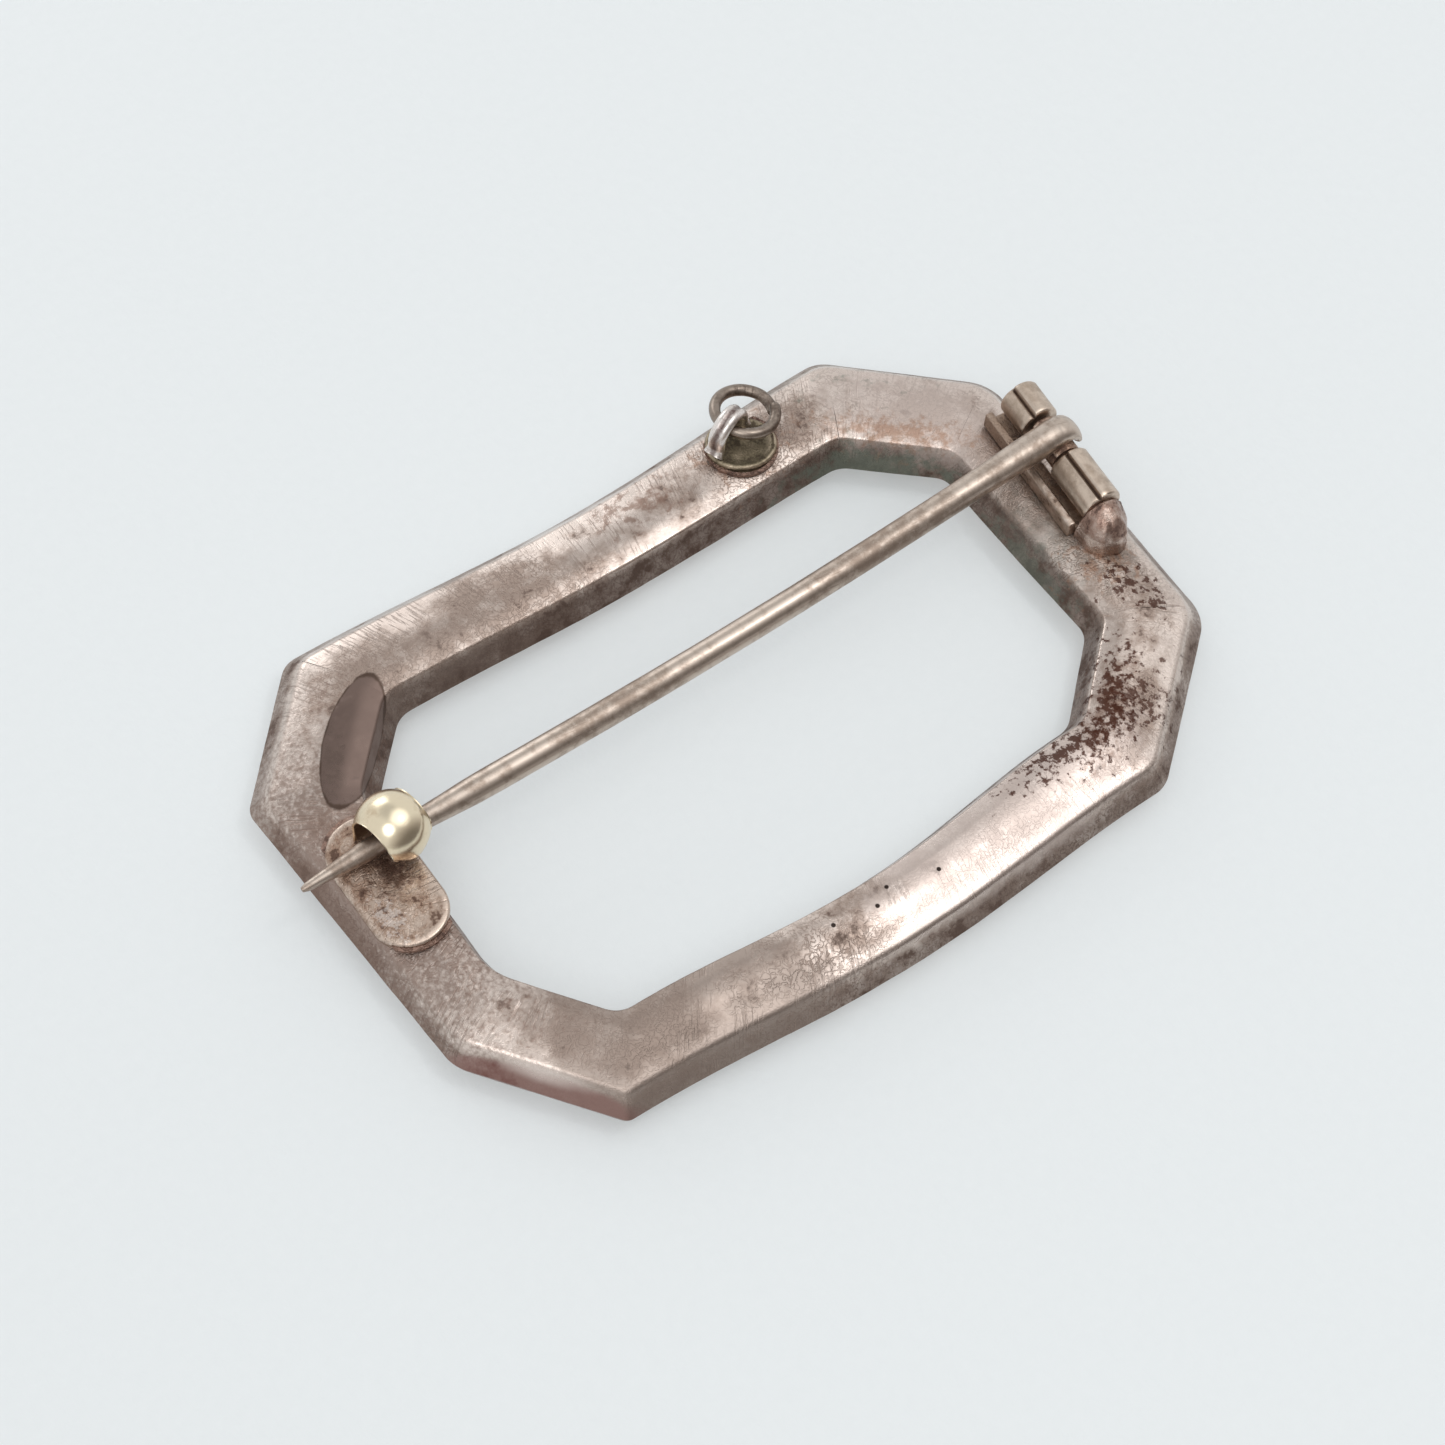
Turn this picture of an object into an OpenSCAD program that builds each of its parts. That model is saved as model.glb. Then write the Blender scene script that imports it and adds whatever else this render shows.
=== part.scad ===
// Open-frame octagonal brooch: a hollow frame of two pressed shells, with a hinged pin,
// an open hook catch and a jump ring for a safety chain on its back.
// The front face rests on z = 0, the back faces +Z and the hinge is at the +X end.

/* [Frame] */
// Overall length of the frame along X
frame_l = 34.6; // [28:0.1:44]
// Overall width of the frame along Y
frame_w = 22.9; // [21:0.1:30]
// Total thickness, front face to back face
frame_h = 2.45; // [2.2:0.05:3.2]
// Width of the two end bars
end_band = 3.3; // [3:0.1:3.8]
// Width of the two side bars
side_band = 3.55; // [3:0.1:3.9]
// Sheet thickness of both shells
sheet = 0.4; // [0.3:0.05:0.5]
// Height of the seam between the shells above the front face
seam_z = 1.05; // [0.9:0.05:1.2]
// How far the inner wall of the back shell leans into the opening
inner_draft = 0.54; // [0.3:0.02:0.7]
// How far the outer wall of the back shell slopes out below its shoulder
outer_slope = 0.84; // [0.6:0.02:1]
// Rounding of the outer shoulder
shoulder_r = 0.35; // [0.2:0.05:0.5]
// Width of the bevel round the front face
bevel_w = 0.5; // [0.3:0.05:0.6]
// Height of the bevel round the front face
bevel_h = 0.5; // [0.3:0.05:0.6]
// Step of the front shell past the back shell inside the opening
lip = 0.1; // [0.05:0.01:0.15]

/* [Corners] */
// Outer corner cut at the hinge end, ring side: along X, along Y
cut_hinge_ring = [5.0, 4.6]; // [3:0.1:6]
// Outer corner cut at the catch end, ring side
cut_catch_ring = [4.5, 4.6]; // [3:0.1:6]
// Outer corner cut at the catch end, plain side
cut_catch_plain = [4.2, 5.3]; // [3:0.1:6]
// Outer corner cut at the hinge end, plain side
cut_hinge_plain = [5.7, 5.3]; // [3:0.1:6]
// Inner corner cut at the hinge end, ring side
hole_hinge_ring = [3.5, 3.1]; // [2:0.1:4.5]
// Inner corner cut at the catch end, ring side
hole_catch_ring = [3.1, 3.2]; // [2:0.1:4.5]
// Inner corner cut at the catch end, plain side
hole_catch_plain = [2.9, 4.0]; // [2:0.1:4.5]
// Inner corner cut at the hinge end, plain side
hole_hinge_plain = [3.7, 3.2]; // [2:0.1:4.5]

/* [Hinge] */
// Distance of the hinge axis in from the end of the frame
hinge_inset = 0.6; // [0.5:0.05:1]
// Place of the middle of the hinge across the frame
hinge_y = 1.8; // [-2:0.1:3]
// Turn of the hinge about the vertical, as it was soldered on
hinge_turn = 6; // [0:1:8]
// Height of the hinge axis above the back face
axis_h = 1.05; // [1:0.05:1.4]
// Length of the whole hinge along its axis
hinge_l = 6.1; // [5:0.1:7.5]
// Length of the knuckle on the ring side
knuckle_ring_l = 1.6; // [1.2:0.1:1.8]
// Length of the knuckle on the plain side
knuckle_plain_l = 2.45; // [1.2:0.05:2.6]
// Outer diameter of the two fixed knuckles
knuckle_d = 1.7; // [1.5:0.05:1.9]
// Outer diameter of the pin's own knuckle
pin_knuckle_d = 1.3; // [1.1:0.05:1.35]
// Diameter of the hinge rivet
rivet_d = 0.6; // [0.5:0.02:0.7]
// Diameter of the rivet's hammered heads
rivet_head_d = 1.0; // [0.8:0.05:1.2]
// Thickness of the rivet's heads
rivet_head_t = 0.12; // [0.1:0.02:0.2]
// Radial clearance of the fixed knuckles on the rivet
seat_gap = 0.01; // [0.01:0.005:0.02]
// Radial clearance of the pin's knuckle on the rivet
run_gap = 0.04; // [0.02:0.01:0.08]
// Side play of the pin's knuckle at each end
side_gap = 0.15; // [0.1:0.05:0.25]
// Thickness of the hinge plate and the catch plate
plate_t = 0.28; // [0.2:0.02:0.3]
// Distance of the stop ridge in from the hinge axis
ridge_x = 1.5; // [1.4:0.05:1.8]
// Height of the stop ridge above the back face
ridge_h = 0.75; // [0.5:0.05:0.9]
// Thickness of the stop ridge
ridge_t = 0.35; // [0.25:0.05:0.5]

/* [Pin] */
// Diameter of the pin wire
wire_d = 1.02; // [0.9:0.02:1.1]
// Diameter of the wire's root, where it wraps over its knuckle
root_d = 1.16; // [1.12:0.02:1.2]
// Length of the straight root
root_l = 2; // [1.5:0.1:3]
// Length over which the root thins to the wire
thin_l = 1.5; // [1:0.1:2]
// Diameter of the pin where it lies under the hook
neck_d = 0.8; // [0.6:0.02:0.84]
// Length of the reducing part in front of the hook
reduce_l = 2.2; // [1.5:0.1:3]
// Length of the sharpened point past the hook
point_l = 2.6; // [2:0.1:3]
// Diameter at the very tip of the point
tip_d = 0.16; // [0.1:0.02:0.3]
// Height of the pin's centre line above the back face at the hook
rest_h = 0.76; // [0.72:0.01:0.8]
// Place of the pin across the frame, from the middle of the hinge
pin_dy = 0.38; // [0.2:0.02:0.5]
// How far the wire stands out of its knuckle where it wraps over it
wrap_rise = 0.15; // [0.1:0.01:0.25]
// Where the wrap ends on the outer side, in degrees above level
wrap_end = 35; // [30:1:50]
/* [Catch] */
// Distance of the hook's middle in from the end of the frame
hook_inset = 3.3; // [3.1:0.05:3.6]
// Outer radius of the hook's arch
hook_r = 1.22; // [1.15:0.02:1.3]
// Thickness of the hook's strip
hook_t = 0.5; // [0.4:0.02:0.55]
// Width of the hook's strip along the frame
hook_w = 1.9; // [1.5:0.05:2.1]
// Height of the arch's middle above the back face
hook_h = 1.4; // [1.4:0.02:1.5]
// How far the hook's nose turns down past level, in degrees
hook_nose = 10; // [0:1:12]
// Radius of the crown on the hook
hook_crown = 1.5; // [1.4:0.05:1.7]
// Width of the hook's foot along the frame
hook_foot_w = 1.5; // [1.2:0.05:1.8]
// Distance of the catch plate's middle in from the end of the frame
tongue_inset = 2.25; // [2.2:0.05:2.4]
// Width of the catch plate
tongue_w = 3; // [2.6:0.1:3.1]
// Length of the catch plate on the ring side of the pin
tongue_up = 1.7; // [1.6:0.05:2.2]
// Length of the catch plate on the plain side of the pin
tongue_down = 4.05; // [3:0.05:4.5]

/* [Chain ring] */
// Place of the ring pad along the frame, from its middle
pad_x = 6.85; // [0:0.05:8]
// Distance of the ring pad's middle in from the side of the frame
pad_inset = 1.95; // [1.85:0.05:2.1]
// Diameter of the ring pad
pad_d = 2.7; // [2.4:0.05:2.8]
// Thickness of the ring pad
pad_t = 0.35; // [0.25:0.05:0.4]
// Diameter of the wire of the staple and of the jump ring
ring_wire = 0.48; // [0.4:0.02:0.5]
// Distance between the middles of the staple's legs
staple_w = 1.44; // [1.3:0.02:1.5]
// Place of the staple on its pad: along X, along Y
staple_at = [-0.35, 0.45]; // [-0.5:0.05:0.5]
// Direction of the staple, in degrees from the X axis
staple_turn = 20; // [0:5:40]
// Clearance of the jump ring under the staple
staple_gap = 0.05; // [0.03:0.01:0.08]
// Height of the jump ring's wire above the pad, inside the staple
ring_lift = 0.6; // [0.5:0.02:0.7]
// Outside diameter of the jump ring
ring_d = 2.9; // [2.6:0.05:3.4]
// How far the jump ring droops at rest, in degrees
ring_droop = 10; // [0:1:11]
// Gap between the cut ends of the jump ring
ring_slit = 0.06; // [0.04:0.01:0.1]

/* [Solder] */
// Radius of the lump of solder beside the hinge
lump_r = 1.1; // [0.8:0.05:1.2]
// Height of the lump of solder
lump_h = 0.7; // [0.5:0.05:0.8]
// Width of the solder line round the catch plate and the pad
solder_w = 0.15; // [0.1:0.01:0.2]
// Height of the solder line
solder_h = 0.12; // [0.08:0.01:0.16]

/* [Hidden] */
$fn = 64;
eps = 0.01;
silver = [0.72, 0.69, 0.65];
dark_silver = [0.5, 0.46, 0.42];
pale_silver = [0.82, 0.8, 0.76];
gilt = [0.82, 0.72, 0.5];

// The eight corner points of an octagon, anticlockwise, with its own cut at each corner.
function octagon(hl, hw, hr, cr, cp, hp) = [
    [hl, hw - hr.y], [hl - hr.x, hw],
    [cr.x - hl, hw], [-hl, hw - cr.y],
    [-hl, cp.y - hw], [cp.x - hl, -hw],
    [hl - hp.x, -hw], [hl, hp.y - hw]
];
outer_pts = octagon(frame_l / 2, frame_w / 2, cut_hinge_ring, cut_catch_ring, cut_catch_plain, cut_hinge_plain);
inner_pts = octagon(
    frame_l / 2 - end_band, frame_w / 2 - side_band,
    hole_hinge_ring, hole_catch_ring, hole_catch_plain, hole_hinge_plain
);
band = (end_band + side_band) / 2;
// A point of a bar's cross-section at one mitre: u runs from the inner crease outwards.
function at_mitre(i, p) = let (q = inner_pts[i % 8] + (outer_pts[i % 8] - inner_pts[i % 8]) * p.x / band)
    [q.x, q.y, p.y];

// Cross-section of the back shell, anticlockwise, with a rounded outer shoulder.
slope_angle = atan2(frame_h - seam_z, outer_slope);
shoulder_u = band - outer_slope;
shoulder_run = shoulder_r * tan(slope_angle / 2);
shoulder_mid = [shoulder_u - shoulder_run, frame_h - shoulder_r];
arc_n = 4;
shoulder = [for (k = [arc_n:-1:0])
    let (a = 90 - slope_angle * k / arc_n) shoulder_mid + shoulder_r * [cos(a), sin(a)]];
back_profile = concat(
    [[sheet - inner_draft, seam_z], [sheet, frame_h - sheet], [shoulder_u - sheet / 2, frame_h - sheet],
        [band - sheet, seam_z], [band, seam_z]],
    shoulder,
    [[0, frame_h], [-inner_draft, seam_z]]
);
// That section is a bent strip, so an end face is given in four convex parts:
// outer wall, shoulder, back and inner wall.
arc_end = 5 + arc_n;
back_end_face = [
    [2, 3, 4, 5], concat([2], [for (k = [5:arc_end]) k]), [1, 2, arc_end, arc_end + 1],
    [0, 1, arc_end + 1, arc_end + 2]
];
// Cross-section of the front shell, anticlockwise.
front_in = -inner_draft - lip;
front_profile = [
    [front_in, bevel_h], [front_in + bevel_w, 0], [band - bevel_w, 0], [band, bevel_h], [band, seam_z],
    [band - sheet, seam_z], [band - sheet, bevel_h + sheet / 2], [band - bevel_w - sheet / 2, sheet],
    [front_in + bevel_w + sheet / 2, sheet], [front_in + sheet, bevel_h + sheet / 2],
    [front_in + sheet, seam_z], [front_in, seam_z]
];

// Heights and places that several pieces share.
hinge_x = frame_l / 2 - hinge_inset;
axis_z = frame_h + axis_h;
// How far behind the hinge axis the plate is cut back for the wrap's end.
notch_back = 0.46;
gap_l = hinge_l - knuckle_ring_l - knuckle_plain_l;
gap_mid = hinge_l / 2 - knuckle_ring_l - gap_l / 2;
pin_knuckle_l = gap_l - 2 * side_gap;
pin_y = hinge_y + pin_dy;
hook_x = hook_inset - frame_l / 2;
tongue_x = tongue_inset - frame_l / 2;
// The straight wire leaves the top of its wrap and falls by run_angle to the hook.
wrap_r = pin_knuckle_d / 2 + wrap_rise;
to_hook = [hinge_x - hook_x, rest_h - axis_h];
run_angle = asin(wrap_r / norm(to_hook)) - atan2(to_hook.y, to_hook.x);
wrap_sweep = 90 - wrap_end - run_angle;
neck_l = hook_w + 0.6;
wire_l = to_hook.x * cos(run_angle) - to_hook.y * sin(run_angle) - neck_l / 2 - reduce_l;
pad_y = frame_w / 2 - pad_inset;
staple_x = pad_x + staple_at.x;
staple_y = pad_y + staple_at.y;
pad_top = frame_h + pad_t;
ring_z = pad_top + ring_lift;
ring_r = (ring_d - ring_wire) / 2;
staple_r = staple_w / 2;
arch_z = ring_z + ring_wire + staple_gap - staple_r;

// A closed loop of eight bars, or a single bar with an end face, swept from mitre to mitre.
module sweep(profile, first, count, end_face = []) {
    n = len(profile);
    rings = count == 8 ? 8 : count + 1;
    pts = [for (i = [0:rings - 1], p = profile) at_mitre(first + i, p)];
    sides = [for (i = [0:count - 1], k = [0:n - 1])
        let (a = i * n, b = (i + 1) % rings * n, m = (k + 1) % n)
            [[a + k, b + m, a + m], [a + k, b + k, b + m]]];
    near_end = [for (part = end_face) part];
    far_end = [for (part = end_face) [for (k = [len(part) - 1:-1:0]) count * n + part[k]]];
    polyhedron(points = pts, faces = concat([for (pair = sides, f = pair) f], near_end, far_end));
}

module hinge_place() {
    translate([hinge_x, hinge_y, axis_z]) rotate([0, 0, -hinge_turn]) children();
}

// A cylinder along the hinge axis, from y0 to y1.
module along_axis(d, y0, y1) {
    translate([0, y1, 0]) rotate([90, 0, 0]) cylinder(d = d, h = y1 - y0);
}

module front_shell() {
    color(silver) sweep(front_profile, 0, 8);
}

module back_bar(i) {
    color(silver) sweep(back_profile, i, 1, back_end_face);
}

// The plate is cut back under the pin's knuckle, so the wire's end can swing past it.
module hinge_base() {
    translate([-ridge_x, -hinge_l / 2, -axis_h]) difference() {
        cube([ridge_x + knuckle_d / 2, hinge_l, plate_t]);
        translate([ridge_x - notch_back, knuckle_plain_l, -eps]) cube([knuckle_d, gap_l, plate_t + 2 * eps]);
    }
}

module hinge_plate() {
    color(dark_silver) hinge_place() union() {
        hinge_base();
        translate([-ridge_x, -hinge_l / 2, -axis_h]) cube([ridge_t, hinge_l, ridge_h]);
    }
}

// A rolled knuckle, flat where it is soldered to the plate.
module fixed_knuckle(y0, l) {
    color(silver) hinge_place() difference() {
        along_axis(knuckle_d, y0, y0 + l);
        along_axis(rivet_d + 2 * seat_gap, y0 - eps, y0 + l + eps);
        translate([-knuckle_d, y0 - eps, -axis_h - knuckle_d]) cube([2 * knuckle_d, l + 2 * eps, knuckle_d + plate_t]);
    }
}

module hinge_knuckle_ring() {
    fixed_knuckle(hinge_l / 2 - knuckle_ring_l, knuckle_ring_l);
}

module hinge_knuckle_plain() {
    fixed_knuckle(-hinge_l / 2, knuckle_plain_l);
}

module hinge_rivet() {
    color(pale_silver) hinge_place() union() {
        along_axis(rivet_d, -hinge_l / 2, hinge_l / 2);
        along_axis(rivet_head_d, -hinge_l / 2 - rivet_head_t, -hinge_l / 2);
        along_axis(rivet_head_d, hinge_l / 2, hinge_l / 2 + rivet_head_t);
    }
}

// A lump of solder run up against the plain end of the hinge.
module hinge_solder() {
    lump_ball = (lump_r * lump_r + lump_h * lump_h) / (2 * lump_h);
    color(pale_silver) hinge_place() difference() {
        translate([-lump_r / 2, -hinge_l / 2 - lump_r / 2, lump_h - lump_ball - axis_h]) sphere(r = lump_ball);
        translate([-5, -9, -axis_h - 5]) cube([10, 10, 5]);
        translate([-5, -hinge_l / 2 - rivet_head_t - eps, -5]) cube([10, 10, 10]);
    }
}

module pin_knuckle() {
    color(dark_silver) hinge_place() difference() {
        along_axis(pin_knuckle_d, gap_mid - pin_knuckle_l / 2, gap_mid + pin_knuckle_l / 2);
        along_axis(rivet_d + 2 * run_gap, gap_mid - gap_l / 2, gap_mid + gap_l / 2);
    }
}

// The wire is built level, with its straight part along -X, and then tipped to the hook.
module pin_stem() {
    color(pale_silver) difference() {
        translate([hinge_x, pin_y, axis_z]) rotate([0, -run_angle, 0]) union() {
            rotate([0, -90, -90]) wire_wrap();
            translate([0, 0, wrap_r]) rotate([0, -90, 0]) pin_length();
        }
        hinge_place() along_axis(pin_knuckle_d, gap_mid - gap_l / 2, gap_mid + gap_l / 2);
    }
}

module wire_wrap() {
    rotate_extrude(angle = wrap_sweep) translate([wrap_r, 0]) circle(d = root_d);
    rotate([0, 0, wrap_sweep]) translate([wrap_r, 0, 0]) sphere(d = root_d);
}

// The thicker root, the straight wire, its reduced neck under the hook and the point, along +Z.
module pin_length() {
    neck_at = wire_l + reduce_l;
    tip_at = neck_at + neck_l + point_l;
    rotate_extrude() polygon([
        [0, 0], [root_d / 2, 0], [root_d / 2, root_l], [wire_d / 2, root_l + thin_l],
        [wire_d / 2, wire_l], [neck_d / 2, neck_at],
        [neck_d / 2, neck_at + neck_l], [tip_d / 2, tip_at], [0, tip_at]
    ]);
}

// The outline of the catch plate, grown by a margin.
module tongue(margin) {
    r = tongue_w / 2;
    translate([tongue_x, pin_y]) union() {
        translate([0, tongue_up - r]) circle(r = r + margin);
        translate([0, r - tongue_down]) circle(r = r + margin);
        translate([-r - margin, r - tongue_down]) square([2 * (r + margin), tongue_up + tongue_down - 2 * r]);
    }
}

module catch_plate() {
    color(dark_silver) translate([0, 0, frame_h]) linear_extrude(plate_t) tongue(0);
}

// An arch over the pin with a straight leg on the ring side and a short nose on the other.
module catch_hook() {
    hole_r = hook_r - hook_t;
    color(gilt) translate([hook_x, pin_y, frame_h + hook_h]) union() {
        intersection() {
            translate([-hook_w / 2, 0, 0]) rotate([90, 0, 90]) hook_arch(hole_r);
            sphere(r = hook_crown);
        }
        translate([-hook_foot_w / 2, hole_r, plate_t - hook_h]) cube([hook_foot_w, hook_t, hook_h - plate_t]);
    }
}

// Half a ring and a little more, standing on its width along Z.
module hook_arch(hole_r) {
    rotate_extrude(angle = 180 + hook_nose) translate([hole_r, 0]) square([hook_t, hook_w]);
}

// Only the part of a solder line that has back face under it.
module on_back() {
    intersection() {
        children();
        linear_extrude(2 * frame_h) polygon([for (i = [0:7]) let (q = at_mitre(i, [shoulder_u - shoulder_run, 0]))
            [q.x, q.y]]);
    }
}

module catch_solder() {
    color(pale_silver) on_back() difference() {
        translate([0, 0, frame_h]) linear_extrude(solder_h) tongue(solder_w);
        translate([0, 0, frame_h - eps]) linear_extrude(plate_t) tongue(0);
        translate([0, 0, frame_h - eps]) linear_extrude(plate_t)
            polygon([for (i = [0:7]) let (q = at_mitre(i, [0, 0])) [q.x, q.y]]);
    }
}

module ring_pad() {
    color(dark_silver) translate([pad_x, pad_y, frame_h]) cylinder(d = pad_d, h = pad_t);
}

module ring_pad_solder() {
    color(pale_silver) on_back() translate([pad_x, pad_y, frame_h]) difference() {
        cylinder(d = pad_d + 2 * solder_w, h = solder_h);
        translate([0, 0, -eps]) cylinder(d = pad_d, h = pad_t);
    }
}

module staple_place() {
    translate([staple_x, staple_y, 0]) rotate([0, 0, staple_turn]) children();
}

module ring_staple() {
    color(silver) staple_place() union() {
        translate([0, 0, arch_z]) rotate([90, 0, 0]) rotate_extrude(angle = 180)
            translate([staple_r, 0]) circle(d = ring_wire);
        for (side = [-1, 1])
            translate([side * staple_r, 0, pad_top]) cylinder(d = ring_wire, h = arch_z - pad_top);
    }
}

module jump_ring() {
    slit_angle = ring_slit / ring_r * 180 / PI;
    color(dark_silver) staple_place() translate([0, 0, ring_z]) rotate([0, ring_droop, 0])
        translate([ring_r, 0, 0]) rotate([0, 0, slit_angle / 2 + 35])
            rotate_extrude(angle = 360 - slit_angle) translate([ring_r, 0]) circle(d = ring_wire);
}

front_shell();
back_bar(0);  // back_corner_hinge_ring
back_bar(1);  // back_side_ring
back_bar(2);  // back_corner_catch_ring
back_bar(3);  // back_end_catch
back_bar(4);  // back_corner_catch_plain
back_bar(5);  // back_side_plain
back_bar(6);  // back_corner_hinge_plain
back_bar(7);  // back_end_hinge
hinge_plate();
hinge_knuckle_ring();
hinge_knuckle_plain();
hinge_rivet();
hinge_solder();
pin_knuckle();
pin_stem();
catch_plate();
catch_hook();
catch_solder();
ring_pad();
ring_staple();
ring_pad_solder();
jump_ring();
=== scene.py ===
# %% [markdown]
# # An open octagonal brooch, lying on its face
# A hollow silver frame, worn and tarnished, seen from the back, where the working parts are: a pin
# that swings on a small hinge, an open hook that holds its point, and a jump ring for a safety chain.
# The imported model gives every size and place. This lesson gives it the surface of an old thing:
# soft shoulders, hand-finished metal, solder that ran, and tarnish that lies where nobody rubs.

# %% Load the frame
import math
import bpy
import bmesh
import numpy as np
from mathutils import Matrix, Vector, noise


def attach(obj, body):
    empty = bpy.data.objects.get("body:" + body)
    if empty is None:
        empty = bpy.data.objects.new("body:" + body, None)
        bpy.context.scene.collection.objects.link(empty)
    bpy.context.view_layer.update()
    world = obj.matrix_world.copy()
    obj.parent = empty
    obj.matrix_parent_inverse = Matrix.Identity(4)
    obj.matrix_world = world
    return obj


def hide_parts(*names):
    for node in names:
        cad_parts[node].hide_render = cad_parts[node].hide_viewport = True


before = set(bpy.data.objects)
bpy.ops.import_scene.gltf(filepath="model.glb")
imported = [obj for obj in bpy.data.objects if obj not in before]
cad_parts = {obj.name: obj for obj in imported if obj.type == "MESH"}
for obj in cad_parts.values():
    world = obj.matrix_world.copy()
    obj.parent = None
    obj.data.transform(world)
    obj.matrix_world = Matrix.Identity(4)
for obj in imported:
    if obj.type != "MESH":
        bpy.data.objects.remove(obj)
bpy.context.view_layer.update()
MM = 0.001

# %% [markdown]
# ## Reading the octagon
# The back of the frame is eight lengths of folded sheet, mitred together. Two neighbours share the
# points of their mitre, so the corners of the octagon are read from the model, and never typed in.
# At each mitre two points matter: the inner crease, where the opening's wall meets the back, and the
# widest point of the outer wall, at the seam.

# %% Corners of the octagon
BARS = [
    "back_corner_hinge_ring", "back_side_ring", "back_corner_catch_ring", "back_end_catch",
    "back_corner_catch_plain", "back_side_plain", "back_corner_hinge_plain", "back_end_hinge",
]


def mesh_points(name):
    """Every corner of a CAD node's mesh, in millimetres, each once."""
    return {tuple(np.round(np.array(v.co) / MM, 3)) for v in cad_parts[name].data.vertices}


def point_rows(points):
    """A set of points as an array with one row each, in a fixed order."""
    return np.array(sorted(points))


inner_corners, outer_corners = [], []
for k in range(8):
    mitre = point_rows(mesh_points(BARS[k - 1]) & mesh_points(BARS[k]))
    reach = np.hypot(mitre[:, 0], mitre[:, 1])
    seam_z, back_z = mitre[:, 2].min(), mitre[:, 2].max()
    at_back, at_seam = mitre[:, 2] > back_z - 0.01, mitre[:, 2] < seam_z + 0.01
    inner_corners.append(mitre[at_back][reach[at_back].argmin()][:2])
    outer_corners.append(mitre[at_seam][reach[at_seam].argmax()][:2])
inner_corners, outer_corners = np.array(inner_corners), np.array(outer_corners)
middles = (inner_corners + outer_corners) / 2
side_band = outer_corners[1][1] - inner_corners[1][1]
end_band = outer_corners[0][0] - inner_corners[0][0]
band = (side_band + end_band) / 2
print(f"seam {seam_z:.2f}, back {back_z:.2f}, bars {end_band:.2f} and {side_band:.2f} mm wide")

# %% [markdown]
# ## Small helpers for node trees
# Both the shapes and the finishes are node trees. One helper places a node and fills its inputs,
# with a plain value or with another node's output, so that a tree reads from top to bottom.

# %% Node helpers


def put(tree, kind, settings=None, inputs=None):
    """Adds a node. Each input is a plain value or an output socket of another node."""
    made = tree.nodes.new(kind)
    for key, value in (settings or {}).items():
        setattr(made, key, value)
    for key, value in (inputs or {}).items():
        if isinstance(value, bpy.types.NodeSocket):
            tree.links.new(value, made.inputs[key])
        else:
            made.inputs[key].default_value = value
    return made


def calc(tree, operation, a, b=0.0, clamp=False):
    """One sum, as a Math node; gives its output."""
    return put(tree, "ShaderNodeMath", {"operation": operation, "use_clamp": clamp}, {0: a, 1: b}).outputs[0]


def times(tree, a, b, clamp=False):
    """a times b."""
    return calc(tree, "MULTIPLY", a, b, clamp)


def plus(tree, a, b):
    """a plus b."""
    return calc(tree, "ADD", a, b)


def minus(tree, a, b):
    """a minus b."""
    return calc(tree, "SUBTRACT", a, b)


def vector_calc(tree, operation, a, b=(0, 0, 0), scale=1.0):
    """One vector sum; gives its output."""
    made = put(tree, "ShaderNodeVectorMath", {"operation": operation}, {0: a, 1: b, 3: scale})
    return made.outputs[1 if operation in ("LENGTH", "DOT_PRODUCT") else 0]


def clouds(tree, at, size_mm, detail=3.0, rough=0.55, seed=0.0):
    """A noise whose blotches are about size_mm across; 0 to 1."""
    return put(tree, "ShaderNodeTexNoise", {"noise_dimensions": "4D"}, {
        "Vector": at, "W": seed, "Scale": 1.0 / (size_mm * MM), "Detail": detail, "Roughness": rough,
    }).outputs[0]


def ramp(tree, value, low, high, to_low=0.0, to_high=1.0):
    """value from low to high becomes to_low to to_high, smoothly, and stays there past the ends."""
    return put(tree, "ShaderNodeMapRange", {"interpolation_type": "SMOOTHSTEP"}, {
        0: value, 1: low, 2: high, 3: to_low, 4: to_high,
    }).outputs[0]


def blend_colour(tree, share, a, b):
    """Colour a where share is 0, colour b where it is 1."""
    a, b = (colour if isinstance(colour, bpy.types.NodeSocket) else (*colour, 1.0) for colour in (a, b))
    return put(tree, "ShaderNodeMix", {"data_type": "RGBA"}, {0: share, 6: a, 7: b}).outputs[2]


def new_group(name, kind, inputs, outputs):
    """An empty node group with named sockets; gives the tree and its two end nodes."""
    tree = bpy.data.node_groups.new(name, kind)
    for side, sockets in (("INPUT", inputs), ("OUTPUT", outputs)):
        for label, socket_type, value in sockets:
            made = tree.interface.new_socket(name=label, in_out=side, socket_type=socket_type)
            if value is not None:
                made.default_value = value
    return tree, tree.nodes.new("NodeGroupInput").outputs, tree.nodes.new("NodeGroupOutput").inputs


FLOAT, VECTOR = "NodeSocketFloat", "NodeSocketVector"
GEOMETRY, MATERIAL = "NodeSocketGeometry", "NodeSocketMaterial"
print("socket kinds", FLOAT, VECTOR, GEOMETRY, MATERIAL)
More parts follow.
